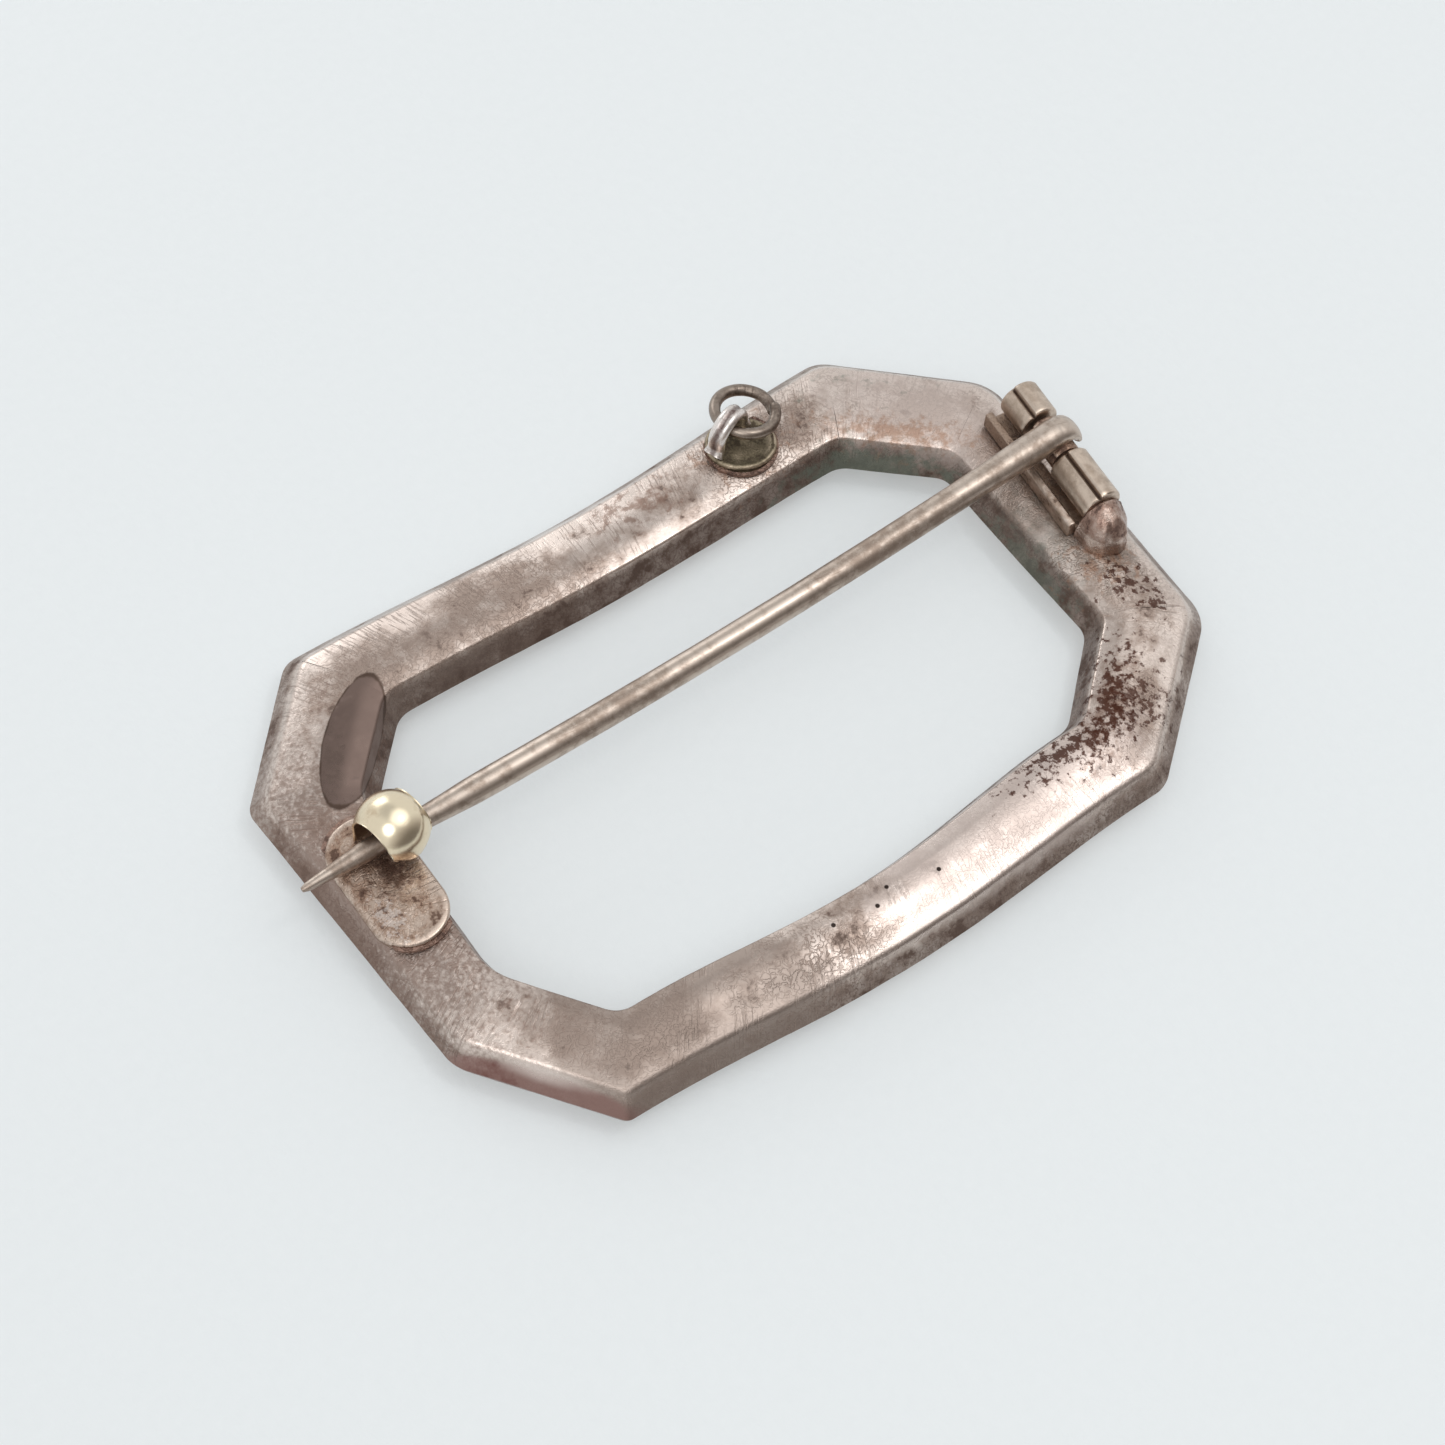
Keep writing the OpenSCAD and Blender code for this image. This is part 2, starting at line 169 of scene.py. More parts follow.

# %% [markdown]
# ## Shared finishes
# Old silver shows the same few things everywhere, so each is one node group: a ragged patch round a
# place, for stains and for a few painted highlights and painted shade, hairline scratches across the
# metal, and pits. Painted maps could do this, but nodes follow the real place in millimetres and stay
# sharp close up. The groups put out masks only; the metal itself stays in each material.

# %% Ragged patch
patch_tree, patch_in, patch_out = new_group("ragged_patch", "ShaderNodeTree", [
    ("Position", VECTOR, None), ("Centre", VECTOR, (0, 0, 0)), ("Reach", FLOAT, 0.001),
    ("Stretch", VECTOR, (1, 1, 1)), ("Ragged", FLOAT, 0.5), ("Grain", FLOAT, 900.0), ("Seed", FLOAT, 0.0),
    ("Thinness", FLOAT, 0.0), ("Softness", FLOAT, 0.25), ("Turn", FLOAT, 0.0),
], [("Mask", FLOAT, None)])
away = vector_calc(patch_tree, "SUBTRACT", patch_in["Position"], patch_in["Centre"])
away = put(patch_tree, "ShaderNodeVectorRotate", {"rotation_type": "Z_AXIS"}, {
    "Vector": away, "Angle": patch_in["Turn"]}).outputs[0]
away = vector_calc(patch_tree, "MULTIPLY", away, patch_in["Stretch"])
share = calc(patch_tree, "DIVIDE", vector_calc(patch_tree, "LENGTH", away), patch_in["Reach"])
torn = put(patch_tree, "ShaderNodeTexNoise", {"noise_dimensions": "4D"}, {
    "Vector": patch_in["Position"], "W": patch_in["Seed"], "Scale": patch_in["Grain"], "Detail": 5.0,
    "Roughness": 0.65,
}).outputs[0]
torn = times(patch_tree, minus(patch_tree, torn, 0.5), patch_in["Ragged"])
edge = plus(patch_tree, share, times(patch_tree, torn, 4.0))
edge = plus(patch_tree, edge, patch_in["Thinness"])
patch_tree.links.new(ramp(patch_tree, edge, 1.0, minus(patch_tree, 1.0, patch_in["Softness"])),
                     patch_out["Mask"])
print("group", patch_tree.name)

# %% Hairline scratches
scratch_tree, scratch_in, scratch_out = new_group("hairlines", "ShaderNodeTree", [
    ("Surface", VECTOR, None), ("Fineness", FLOAT, 9000.0), ("Length", FLOAT, 600.0),
    ("Share", FLOAT, 0.5), ("Seed", FLOAT, 0.0),
], [("Mask", FLOAT, None)])
parts = put(scratch_tree, "ShaderNodeSeparateXYZ", None, {0: scratch_in["Surface"]}).outputs
lean = plus(scratch_tree, parts[0], times(scratch_tree, parts[1], 0.12))
line_at = put(scratch_tree, "ShaderNodeCombineXYZ", None, {
    0: times(scratch_tree, lean, scratch_in["Fineness"]),
    1: times(scratch_tree, parts[1], scratch_in["Length"]),
}).outputs[0]
lines = put(scratch_tree, "ShaderNodeTexNoise", {"noise_dimensions": "4D"}, {
    "Vector": line_at, "W": scratch_in["Seed"], "Scale": 1.0, "Detail": 2.0, "Roughness": 0.6,
}).outputs[0]
line_floor = minus(scratch_tree, 0.71, times(scratch_tree, scratch_in["Share"], 0.3))
scratch_tree.links.new(
    ramp(scratch_tree, lines, line_floor, plus(scratch_tree, line_floor, 0.08)), scratch_out["Mask"])
print("group", scratch_tree.name)

# %% Pits
pit_tree, pit_in, pit_out = new_group("pits", "ShaderNodeTree", [
    ("Position", VECTOR, None), ("Spacing", FLOAT, 700.0), ("Size", FLOAT, 0.12), ("Share", FLOAT, 0.3),
], [("Mask", FLOAT, None)])
cells = put(pit_tree, "ShaderNodeTexVoronoi", None, {
    "Vector": pit_in["Position"], "Scale": pit_in["Spacing"],
})
chosen = put(pit_tree, "ShaderNodeSeparateColor", None, {0: cells.outputs["Color"]}).outputs[0]
chosen = calc(pit_tree, "LESS_THAN", chosen, pit_in["Share"])
half_size = times(pit_tree, pit_in["Size"], 0.5)
dot = ramp(pit_tree, cells.outputs["Distance"], pit_in["Size"], half_size)
pit_tree.links.new(times(pit_tree, dot, chosen), pit_out["Mask"])
print("group", pit_tree.name)

# %% [markdown]
# ## Worn silver
# Silver is nearly white, but a thin brown sulphide film lies over it wherever it isn't rubbed. So the
# edges are bright, the walls are dark from tarnish and from painted shade, and the flats are a warm
# grey between them. The height map carries the same story: scratches and pits are cut, crusts stand
# a little proud, and a polished place is smooth.

# %% Worn silver, one function for every silver piece


def group_node(tree, group, inputs):
    """Places one of the shared groups in a material and gives its first output."""
    return put(tree, "ShaderNodeGroup", {"node_tree": group}, inputs).outputs[0]


def metal(name, clean, dull, dark, rough=0.3, film=0.45, grime=0.35, scratches=0.5, relief=0.02,
          grain_mm=0.9, grain=0.5, lengthwise=False, seed=0.0, patches=(), coarse=()):
    """A worn metal. film is how much thin tarnish lies on it, grime how much dark tarnish."""
    made = bpy.data.materials.new(name)
    made.use_nodes = True
    tree = made.node_tree
    shader = tree.nodes["Principled BSDF"]
    at = put(tree, "ShaderNodeTexCoord").outputs["Object"]
    along = put(tree, "ShaderNodeAttribute", {"attribute_name": "surface"}).outputs["Vector"]
    if lengthwise:
        split = put(tree, "ShaderNodeSeparateXYZ", None, {0: along}).outputs
        along = put(tree, "ShaderNodeCombineXYZ", None, {0: split[1], 1: split[0]}).outputs[0]
    # The wear value from the mesh: above nothing, the metal is rubbed clean; below nothing, it is darkened by
    # tarnish and by painted shade.
    wear_and_shade = put(tree, "ShaderNodeAttribute", {"attribute_name": "wear_and_shade"}).outputs["Fac"]
    bright = calc(tree, "MAXIMUM", wear_and_shade, 0.0)
    shade_and_tarnish = calc(tree, "MAXIMUM", times(tree, wear_and_shade, -1.0), 0.0)
    broad = clouds(tree, at, 5.0, 3.0, 0.5, seed=seed)
    fine = clouds(tree, at, grain_mm, 6.0, 0.66, seed=seed + 3)
    warp = put(tree, "ShaderNodeTexNoise", None, {"Vector": at, "Scale": 2600.0, "Detail": 1.0}).outputs[1]
    bent = vector_calc(tree, "ADD", at, vector_calc(tree, "SCALE", warp, scale=0.0003))
    worm = clouds(tree, bent, 0.2, 2.0, 0.5, seed=seed + 7)
    worm = ramp(tree, calc(tree, "ABSOLUTE", minus(tree, worm, 0.5)), 0.0, 0.07)
    grainy = ramp(tree, plus(tree, broad, times(tree, shade_and_tarnish, 0.25)), 0.40, 0.62)
    for centre, reach in coarse:
        mask = group_node(tree, patch_tree, {
            "Position": at, "Centre": [c * MM for c in centre], "Reach": reach * MM, "Ragged": 0.5,
            "Grain": 1 / (1.2 * MM), "Seed": seed + reach, "Softness": 0.7,
        })
        grainy = calc(tree, "MAXIMUM", grainy, times(tree, mask, 1.25))
    grainy = times(tree, grainy, minus(tree, 1.0, times(tree, bright, 0.6)))
    tone = plus(tree, times(tree, broad, 0.45), times(tree, fine, 0.55))
    tone = minus(tree, tone, times(tree, bright, 0.14))
    veil = ramp(tree, tone, 0.64 - film * 0.5, 0.80 - film * 0.5)
    crust = minus(tree, plus(tree, fine, times(tree, shade_and_tarnish, 0.08)),
                 times(tree, bright, 0.22))
    crust = ramp(tree, crust, 0.66 - grime * 0.3, 0.74 - grime * 0.3)
    colour = blend_colour(tree, veil, clean, dull)
    middle = [0.6 * a + 0.4 * b for a, b in zip(dull, dark)]
    worms = times(tree, times(tree, minus(tree, 1.0, worm), grainy), grain)
    colour = blend_colour(tree, worms, colour, middle)
    colour = blend_colour(tree, times(tree, crust, 0.75), colour, dark)
    lines = group_node(tree, scratch_tree, {"Surface": along, "Share": scratches, "Seed": seed})
    handled = ramp(tree, clouds(tree, at, 2.6, 2.0, 0.5, seed=seed + 12), 0.46, 0.60)
    lines = times(tree, lines, handled)
    pits = group_node(tree, pit_tree, {"Position": at, "Spacing": 520.0, "Share": 0.1})
    colour = blend_colour(tree, times(tree, lines, 0.5), colour, middle)
    # Painted shade: where the wear value is below nothing, on walls and in holes, the colour goes towards the
    # dark one, over the tarnish.
    shade = times(tree, shade_and_tarnish, plus(tree, 0.55, times(tree, fine, 0.5)), True)
    colour = blend_colour(tree, shade, colour, [0.9 * v for v in dark])
    roughness = plus(tree, rough, times(tree, veil, 0.08))
    roughness = plus(tree, roughness, times(tree, crust, 0.22))
    roughness = plus(tree, roughness, times(tree, grainy, 0.12))
    height = plus(tree, times(tree, fine, 0.6), times(tree, worms, -0.5))
    height = minus(tree, height, times(tree, lines, 0.45))
    for patch in patches:
        centre, reach, stretch, ragged, thin, soft, grain_size, tint, strength, patch_rough, *turn = patch
        mask = group_node(tree, patch_tree, {
            "Position": at, "Centre": [c * MM for c in centre], "Reach": reach * MM, "Stretch": stretch,
            "Ragged": ragged, "Grain": 1 / (grain_size * MM), "Seed": seed + reach, "Thinness": thin,
            "Softness": soft, "Turn": turn[0] if turn else 0.0,
        })
        mask = times(tree, mask, strength)
        colour = blend_colour(tree, mask, colour, tint)
        roughness = plus(tree, roughness, times(tree, mask, patch_rough))
        if patch_rough > 0:
            height = plus(tree, height, times(tree, mask, 0.25))
        else:
            height = times(tree, height, minus(tree, 1.0, mask))
    colour = blend_colour(tree, pits, colour, (0.03, 0.02, 0.015))
    height = minus(tree, height, times(tree, pits, 1.2))
    normal = put(tree, "ShaderNodeBump", None, {"Height": height, "Strength": 1.0, "Distance": relief * MM})
    metallic = minus(tree, 1.0, times(tree, crust, 0.3))
    tree.links.new(colour, shader.inputs["Base Color"])
    tree.links.new(roughness, shader.inputs["Roughness"])
    tree.links.new(metallic, shader.inputs["Metallic"])
    tree.links.new(normal.outputs[0], shader.inputs["Normal"])
    return made


CLEAN, DULL, DARK = (0.68, 0.58, 0.52), (0.37, 0.285, 0.24), (0.10, 0.06, 0.045)
RUST, GREEN = (0.075, 0.028, 0.018), (0.17, 0.19, 0.155)
LENS, PINK = (0.19, 0.135, 0.115), (0.27, 0.16, 0.14)


def between(corners, k, share=0.5, z=None):
    """A place on a bar, share of the way from one mitre to the next."""
    flat = corners[k] * (1 - share) + corners[(k + 1) % 8] * share
    return (flat[0], flat[1], back_z if z is None else z)


def bar_turn(k):
    """The turn that lays a bar's direction along X."""
    way = inner_corners[(k + 1) % 8] - inner_corners[k]
    return -math.atan2(way[1], way[0])


lens_at = between(inner_corners * 0.85 + outer_corners * 0.15, 2, 0.52)
BURNT, UMBER, DULLED = (0.33, 0.19, 0.125), (0.22, 0.13, 0.095), (0.30, 0.235, 0.20)
POLISHED = (0.70, 0.595, 0.545)
# Each patch is a stain unless its comment says painted highlight. Its columns: place, reach, stretch,
# raggedness, thinness, softness, grain, colour, strength, roughness and, for the long ones, their turn.
shell_patches = [
    (between(middles, 5, 0.12), 6.5, (1, 1, 1), 0.35, 0.0, 0.35, 1.6, DULLED, 0.75, 0.14),
    (between(middles, 1, 0.85), 5.0, (1, 1, 1), 0.5, 0.0, 0.7, 1.6, DULLED, 0.4, 0.12),
    (between(middles, 5, 0.74), 7.5, (1, 1, 7), 0.35, 0.0, 0.45, 2.0, POLISHED, 0.62, -0.06),
    (between(middles, 0, 0.42), 4.6, (1, 1, 4), 0.4, 0.0, 0.6, 1.6, POLISHED, 0.5, -0.04),
    (between(inner_corners, 0, 0.75, 1.15), 6.4, (1, 1, 4.4), 0.55, 0.2, 0.6, 0.5, GREEN, 0.8, 0.25),
    (between(inner_corners, 7, 0.4, 1.15), 4.5, (1, 1, 3.6), 0.7, 0.2, 0.6, 0.5, GREEN, 0.6, 0.25),
    (between(middles, 7, 0.42), 3.6, (1, 0.9, 1), 0.6, 0.1, 0.9, 0.6, (0.23, 0.215, 0.19), 0.6, 0.1),
    (between(inner_corners * 0.88 + outer_corners * 0.12, 0, 0.5), 3.2, (0.7, 3.6, 1), 0.9, 0.1, 0.9, 0.4,
     BURNT, 0.7, 0.03, bar_turn(0)),
    (between(middles, 1, 0.20), 2.6, (1, 1, 1), 1.1, 0.3, 0.8, 0.4, BURNT, 0.6, 0.05),
    (between(middles, 1, 0.42), 3.0, (0.8, 1.4, 1), 1.1, 0.5, 0.7, 0.5, UMBER, 0.7, 0.05),
    (between(middles, 3, 0.42), 6.2, (1.0, 0.8, 1), 0.7, -0.2, 0.9, 0.2, (0.22, 0.145, 0.115), 0.75, 0.12),
    (between(middles, 7, 0.25), 2.4, (1, 1, 1), 1.2, 0.4, 0.8, 0.35, BURNT, 0.6, 0.1),
    (between(outer_corners, 4, 0.5, 1.1), 3.0, (0.7, 1.0, 3.4), 0.10, 0.0, 0.25, 0.9, PINK, 0.85, -0.1,
     bar_turn(4)),
    # A pale band, brighter than clean silver and smoother, along the crisp edge of the catch-side plain
    # corner: polish, and a painted highlight in its colour.
    (between(outer_corners * 0.82 + inner_corners * 0.18, 4, 0.5, 2.05), 2.9, (0.85, 4, 4), 0.05, 0.0, 0.6,
     1.5, (0.78, 0.68, 0.62), 0.95, -0.12, bar_turn(4)),
    (between(outer_corners, 4, 0.2, 1.3), 1.3, (0.8, 1.0, 1.6), 0.5, 0.0, 0.8, 0.5,
     (0.14, 0.045, 0.04), 0.7, 0.0, bar_turn(4)),
    (lens_at, 1.85, (0.62, 1.6, 1.6), 0.06, 0.0, 0.05, 1.5, (0.085, 0.055, 0.042), 0.95, 0.0, bar_turn(2)),
    (lens_at, 1.78, (0.62, 1.6, 1.6), 0.06, 0.0, 0.05, 1.5, LENS, 0.95, -0.05, bar_turn(2)),
    (between(inner_corners * 0.85 + outer_corners * 0.15, 6, 0.15), 4.2, (0.9, 2.4, 1), 1.0, 0.3, 0.9, 0.3,
     UMBER, 0.6, 0.05, bar_turn(6)),
    (between(inner_corners * 0.8 + outer_corners * 0.2, 6, 0.3), 3.3, (0.8, 2.3, 1), 1.35, 0.48, 0.5, 0.3,
     RUST, 0.92, 0.12, bar_turn(6)),
    (between(inner_corners * 0.82 + outer_corners * 0.18, 5, 0.93), 3.0, (0.7, 2.7, 1), 1.3, 0.42, 0.5, 0.3,
     RUST, 0.92, 0.12, bar_turn(5)),
    (between(middles, 6, 0.35), 3.0, (1, 1, 1), 1.5, 0.85, 0.3, 0.35, RUST, 0.8, 0.1),
    (between(middles, 7, 0.12), 1.8, (1, 0.8, 1), 1.5, 0.75, 0.3, 0.35, RUST, 0.85, 0.15),
]
for pit_share, pit_across in ((0.40, 0.42), (0.48, 0.50), (0.51, 0.38), (0.60, 0.52)):
    place = between(inner_corners * (1 - pit_across) + outer_corners * pit_across, 5, pit_share)
    shell_patches.append((place, 0.11, (1, 1, 1), 0.1, 0.0, 0.4, 0.3, (0.02, 0.012, 0.01), 0.95, 0.3))
coarse_places = [
    (between(middles, 3, 0.5), 5.2), (between(middles, 0, 0.4), 4.2), (between(middles, 7, 0.3), 3.0),
    (between(middles, 1, 0.15), 5.0), (between(outer_corners, 5, 0.35, 1.2), 5.0),
    (between(outer_corners, 5, 0.75, 1.2), 4.5),
]
shell_silver = metal("worn_silver", CLEAN, DULL, DARK, rough=0.24, film=0.46, grime=0.24, scratches=0.62,
                     grain=0.75, patches=shell_patches, coarse=coarse_places)
print("finishes made:", len(bpy.data.materials))

# %% [markdown]
# ## Formed bars
# Each back bar is one strip of sheet folded to a soft section and lofted between two mitres. That is
# a rule, so a Geometry Nodes tree makes it: the base mesh is only a grid that says, for every point,
# which point of the inner line and of the outer line it lies between, and how high. The tree mixes
# the two lines and then gives the metal the slow waves and the fine grain of hand finishing.

# %% The loft, as a Geometry Nodes tree
loft_tree, loft_in, loft_out = new_group("loft_bar", "GeometryNodeTree", [
    ("Geometry", GEOMETRY, None), ("Wave height", FLOAT, 0.00003), ("Wave size", FLOAT, 400.0),
    ("Grain height", FLOAT, 0.000004), ("Grain size", FLOAT, 2500.0), ("Seed", FLOAT, 1.0),
    ("Metal", MATERIAL, None),
], [("Geometry", GEOMETRY, None)])


def read(name, kind):
    """A named attribute of the base grid."""
    return put(loft_tree, "GeometryNodeInputNamedAttribute", {"data_type": kind}, {"Name": name}).outputs[0]


def swell(tree, at, size, height, seed):
    """How far each point moves along its normal: a noise round zero."""
    wave = put(tree, "ShaderNodeTexNoise", {"noise_dimensions": "4D"}, {
        "Vector": at, "W": seed, "Scale": size, "Detail": 2.0,
    }).outputs[0]
    return times(tree, times(tree, minus(tree, wave, 0.5), 2.0), height)


sideways = vector_calc(loft_tree, "SCALE", read("across", "FLOAT_VECTOR"), scale=read("share", "FLOAT"))
upwards = vector_calc(loft_tree, "SCALE", read("lift", "FLOAT_VECTOR"), scale=read("height", "FLOAT"))
offset = vector_calc(loft_tree, "ADD", sideways, upwards)
formed = put(loft_tree, "GeometryNodeSetPosition", None, {
    "Geometry": loft_in["Geometry"],
    "Position": vector_calc(loft_tree, "ADD", read("guide", "FLOAT_VECTOR"), offset)}).outputs[0]
here = put(loft_tree, "GeometryNodeInputPosition").outputs[0]
waves = swell(loft_tree, here, loft_in["Wave size"], loft_in["Wave height"], loft_in["Seed"])
grains = swell(loft_tree, here, loft_in["Grain size"], loft_in["Grain height"], loft_in["Seed"])
push = plus(loft_tree, waves, grains)
facing = put(loft_tree, "GeometryNodeInputNormal").outputs[0]
finished = put(loft_tree, "GeometryNodeSetPosition", None, {
    "Geometry": formed, "Offset": vector_calc(loft_tree, "SCALE", facing, scale=push)}).outputs[0]
real = put(loft_tree, "GeometryNodeRealizeInstances", None, {0: finished}).outputs[0]
coated = put(loft_tree, "GeometryNodeSetMaterial", None, {"Geometry": real, "Material": loft_in["Metal"]})
loft_tree.links.new(coated.outputs[0], loft_out["Geometry"])
print("tree", loft_tree.name, len(loft_tree.nodes), "nodes")

# %% [markdown]
# ## The section of the sheet
# The back leans up from the seam, turns at a tight crease, rises to a low crown, falls gently towards
# the outside, and breaks over a crisp edge into the outer wall. Straight lines with a radius at each
# corner say all of that. The crease and the edge are where fingers rub, so they are marked as bright;
# the inner and the outer wall are marked dark, for tarnish and painted shade.

# %% Section helpers


def rounded(corners, steps=9):
    """A line through (x, y, radius) corners, with an arc at each corner that has a radius."""
    line = []
    for k, (x, y, r) in enumerate(corners):
        here = np.array([x, y])
        if r == 0:
            line.append(here)
            continue
        to_last = np.array(corners[k - 1][:2]) - here
        to_next = np.array(corners[(k + 1) % len(corners)][:2]) - here
        to_last, to_next = to_last / np.linalg.norm(to_last), to_next / np.linalg.norm(to_next)
        half = math.acos(np.clip(to_last @ to_next, -1, 1)) / 2
        middle = here + (to_last + to_next) / np.linalg.norm(to_last + to_next) * r / math.sin(half)
        first = here + to_last * r / math.tan(half) - middle
        last = here + to_next * r / math.tan(half) - middle
        turn = math.pi - 2 * half
        for s in np.linspace(0, 1, steps):
            on_arc = first * math.sin((1 - s) * turn) + last * math.sin(s * turn)
            line.append(middle + on_arc / math.sin(turn))
    return np.array(line)


def finer(line, step):
    """The same line with points no further apart than step."""
    out = [line[0]]
    for a, b in zip(line[:-1], line[1:]):
        n = max(1, math.ceil(np.linalg.norm(b - a) / step))
        out += [a + (b - a) * k / n for k in range(1, n + 1)]
    return np.array(out)


draft, sheet = 0.54, 0.4  # how far the inner wall leans into the opening, and the sheet's thickness
edge_at, edge_z = band - 0.66, back_z - 0.44  # the crisp edge above the outer wall
outside = finer(rounded([
    (-draft, seam_z, 0), (-0.05, back_z - 0.16, 0.16), (0.55, back_z, 1.6), (1.35, back_z, 3.0),
    (edge_at, edge_z, 0.42), (band, seam_z, 0),
]), 0.16)
inside = np.array([
    (band - sheet, seam_z), (edge_at - sheet, edge_z - sheet), (sheet, back_z - sheet - 0.16),
    (sheet - draft, seam_z),
])
back_section = np.vstack([outside, inside])
back_wear_and_shade = 0.9 * np.exp(-((back_section - [edge_at - 0.1, edge_z]) ** 2).sum(1) / 0.45 ** 2)
back_wear_and_shade += 0.3 * np.exp(-((back_section - [0.05, back_z - 0.1]) ** 2).sum(1) / 0.18 ** 2)
# The two walls get a value below nothing: tarnish and painted shade darken them in the finish.
inner_wall = np.clip((-0.06 - back_section[:, 0]) / 0.12, 0, 1)
outer_wall = np.clip((back_section[:, 0] - edge_at - 0.1) / 0.2, 0, 1)
back_wear_and_shade = back_wear_and_shade - inner_wall * 0.9 - outer_wall * 0.5
print("section points", len(back_section))

# %% [markdown]
# ## Soft corners
# Where two bars meet, the file and years of wear have rounded the mitre. Each line of the octagon
# turns its corner along a short curve, and each bar owns it up to the middle of the curve. A small
# softness leaves a crisp mitre, as at the catch end of the plain side.

# %% Bars between soft corners
inner_softness = [0.5, 0.5, 0.5, 0.7, 0.9, 0.6, 0.5, 0.5]
outer_softness = [0.9, 0.6, 0.5, 0.4, 0.5, 0.22, 0.55, 0.9]
# The old frame isn't quite true. corner_wear is how far each outer corner sits inside the pattern, and
# the bends are how far the middle of a bar is bent inward; less than nothing is outward. Millimetres.
corner_wear = [-0.6, -0.56, -0.25, -0.1, 0.7, 0.55, 0.05, -0.6]
inner_bends = {1: 0.30, 5: -0.75}
outer_bends = {1: 0.56, 5: -0.66, 7: -0.25}
toward = inner_corners - outer_corners
toward /= np.linalg.norm(toward, axis=1)[:, None]
worn_corners = outer_corners + toward * np.array(corner_wear)[:, None]


def bar_line(corners, softness, bends, k, steps, turn_steps=7):
    """One bar's line, from the middle of one soft corner to the middle of the next."""
    line = []
    for corner, forward in ((k, True), ((k + 1) % 8, False)):
        here = corners[corner]
        last, after = corners[corner - 1] - here, corners[(corner + 1) % 8] - here
        start = here + last / np.linalg.norm(last) * softness[corner]
        end = here + after / np.linalg.norm(after) * softness[corner]
        times = np.linspace(0.5, 1, turn_steps) if forward else np.linspace(0, 0.5, turn_steps)
        line.append([(1 - t) ** 2 * start + 2 * t * (1 - t) * here + t * t * end for t in times])
    between_turns = np.linspace(line[0][-1], line[1][0], steps + 1)[1:-1]
    whole = np.vstack([line[0], between_turns, line[1]])
    way = corners[(k + 1) % 8] - corners[k]
    share = np.clip((whole - corners[k]) @ way / (way @ way), 0, 1)
    inward = np.array([-way[1], way[0]]) / np.linalg.norm(way)
    return whole + inward * (bends.get(k, 0) * np.sin(math.pi * share) ** 2)[:, None]


def bar_lines(k, step):
    """The inner and the outer line of one bar, with as many points each."""
    length = np.linalg.norm(outer_corners[(k + 1) % 8] - outer_corners[k])
    steps = max(6, round(length / step))
    return [
        bar_line(inner_corners, inner_softness, inner_bends, k, steps),
        bar_line(worn_corners, outer_softness, outer_bends, k, steps),
    ]


print("corners worn in by", corner_wear, "mm")

# %% Loft, growth and cleaning


def loft_mesh(name, guide, across, lift, section, wear_and_shade, closed=False):
    """A grid that carries what the loft tree needs, as a closed skin. All in millimetres.

    guide is a line of points, across and lift a direction at each, and section a closed outline of
    (share of across, share of lift), the same at every point of the guide or one for each.
    """
    m = len(guide)
    section = np.broadcast_to(section, (m, *np.shape(section)[-2:]))
    n = section.shape[1]
    grid = np.arange(n * m).reshape(m, n)
    faces = []
    for i in range(m if closed else m - 1):
        for j in range(n):
            a, b = grid[i], grid[(i + 1) % m]
            faces.append((a[j], a[(j + 1) % n], b[(j + 1) % n], b[j]))
    if not closed:
        faces += [tuple(grid[0][::-1]), tuple(grid[-1])]
    mesh = bpy.data.meshes.new(name)
    mesh.from_pydata(np.zeros((n * m, 3)).tolist(), [], [[int(v) for v in f] for f in faces])
    guide, across, lift = (np.array(np.broadcast_to(v, (m, 3)), float) for v in (guide, across, lift))
    step = np.diff(section[m // 2], axis=0) * [np.linalg.norm(across[0]), np.linalg.norm(lift[0])]
    around = np.concatenate([[0], np.cumsum(np.linalg.norm(step, axis=1))])
    path = guide + across * section[:, :, 0].mean()
    along = np.concatenate([[0], np.cumsum(np.linalg.norm(np.diff(path, axis=0), axis=1))])
    values = {
        "guide": np.repeat(guide, n, axis=0), "across": np.repeat(across, n, axis=0),
        "lift": np.repeat(lift, n, axis=0),
        "surface": np.column_stack([np.repeat(along, n), np.tile(around, m), np.zeros(n * m)]),
    }
    for key, rows in values.items():
        data = np.ascontiguousarray(rows * MM, dtype=np.float32)
        mesh.attributes.new(key, "FLOAT_VECTOR", "POINT").data.foreach_set("vector", data.ravel())
    wear_and_shade = np.broadcast_to(wear_and_shade, (m, n))
    for key, grid_values in (("share", section[:, :, 0]), ("height", section[:, :, 1]), ("wear_and_shade", wear_and_shade)):
        data = np.ascontiguousarray(grid_values, dtype=np.float32)
        mesh.attributes.new(key, "FLOAT", "POINT").data.foreach_set("value", data.ravel())
    made = bpy.data.objects.new(name, mesh)
    bpy.context.collection.objects.link(made)
    return made


def grow(made, tree, values):
    """Runs a Geometry Nodes tree on an object and keeps its result as a plain mesh."""
    modifier = made.modifiers.new(tree.name, "NODES")
    modifier.node_group = tree
    for item in tree.interface.items_tree:
        if item.in_out == "INPUT" and item.name in values:
            modifier[item.identifier] = values[item.name]
    view = bpy.context.evaluated_depsgraph_get()
    result = bpy.data.meshes.new_from_object(
        made.evaluated_get(view), preserve_all_data_layers=True, depsgraph=view)
    made.modifiers.clear()
    made.data = result
    return made


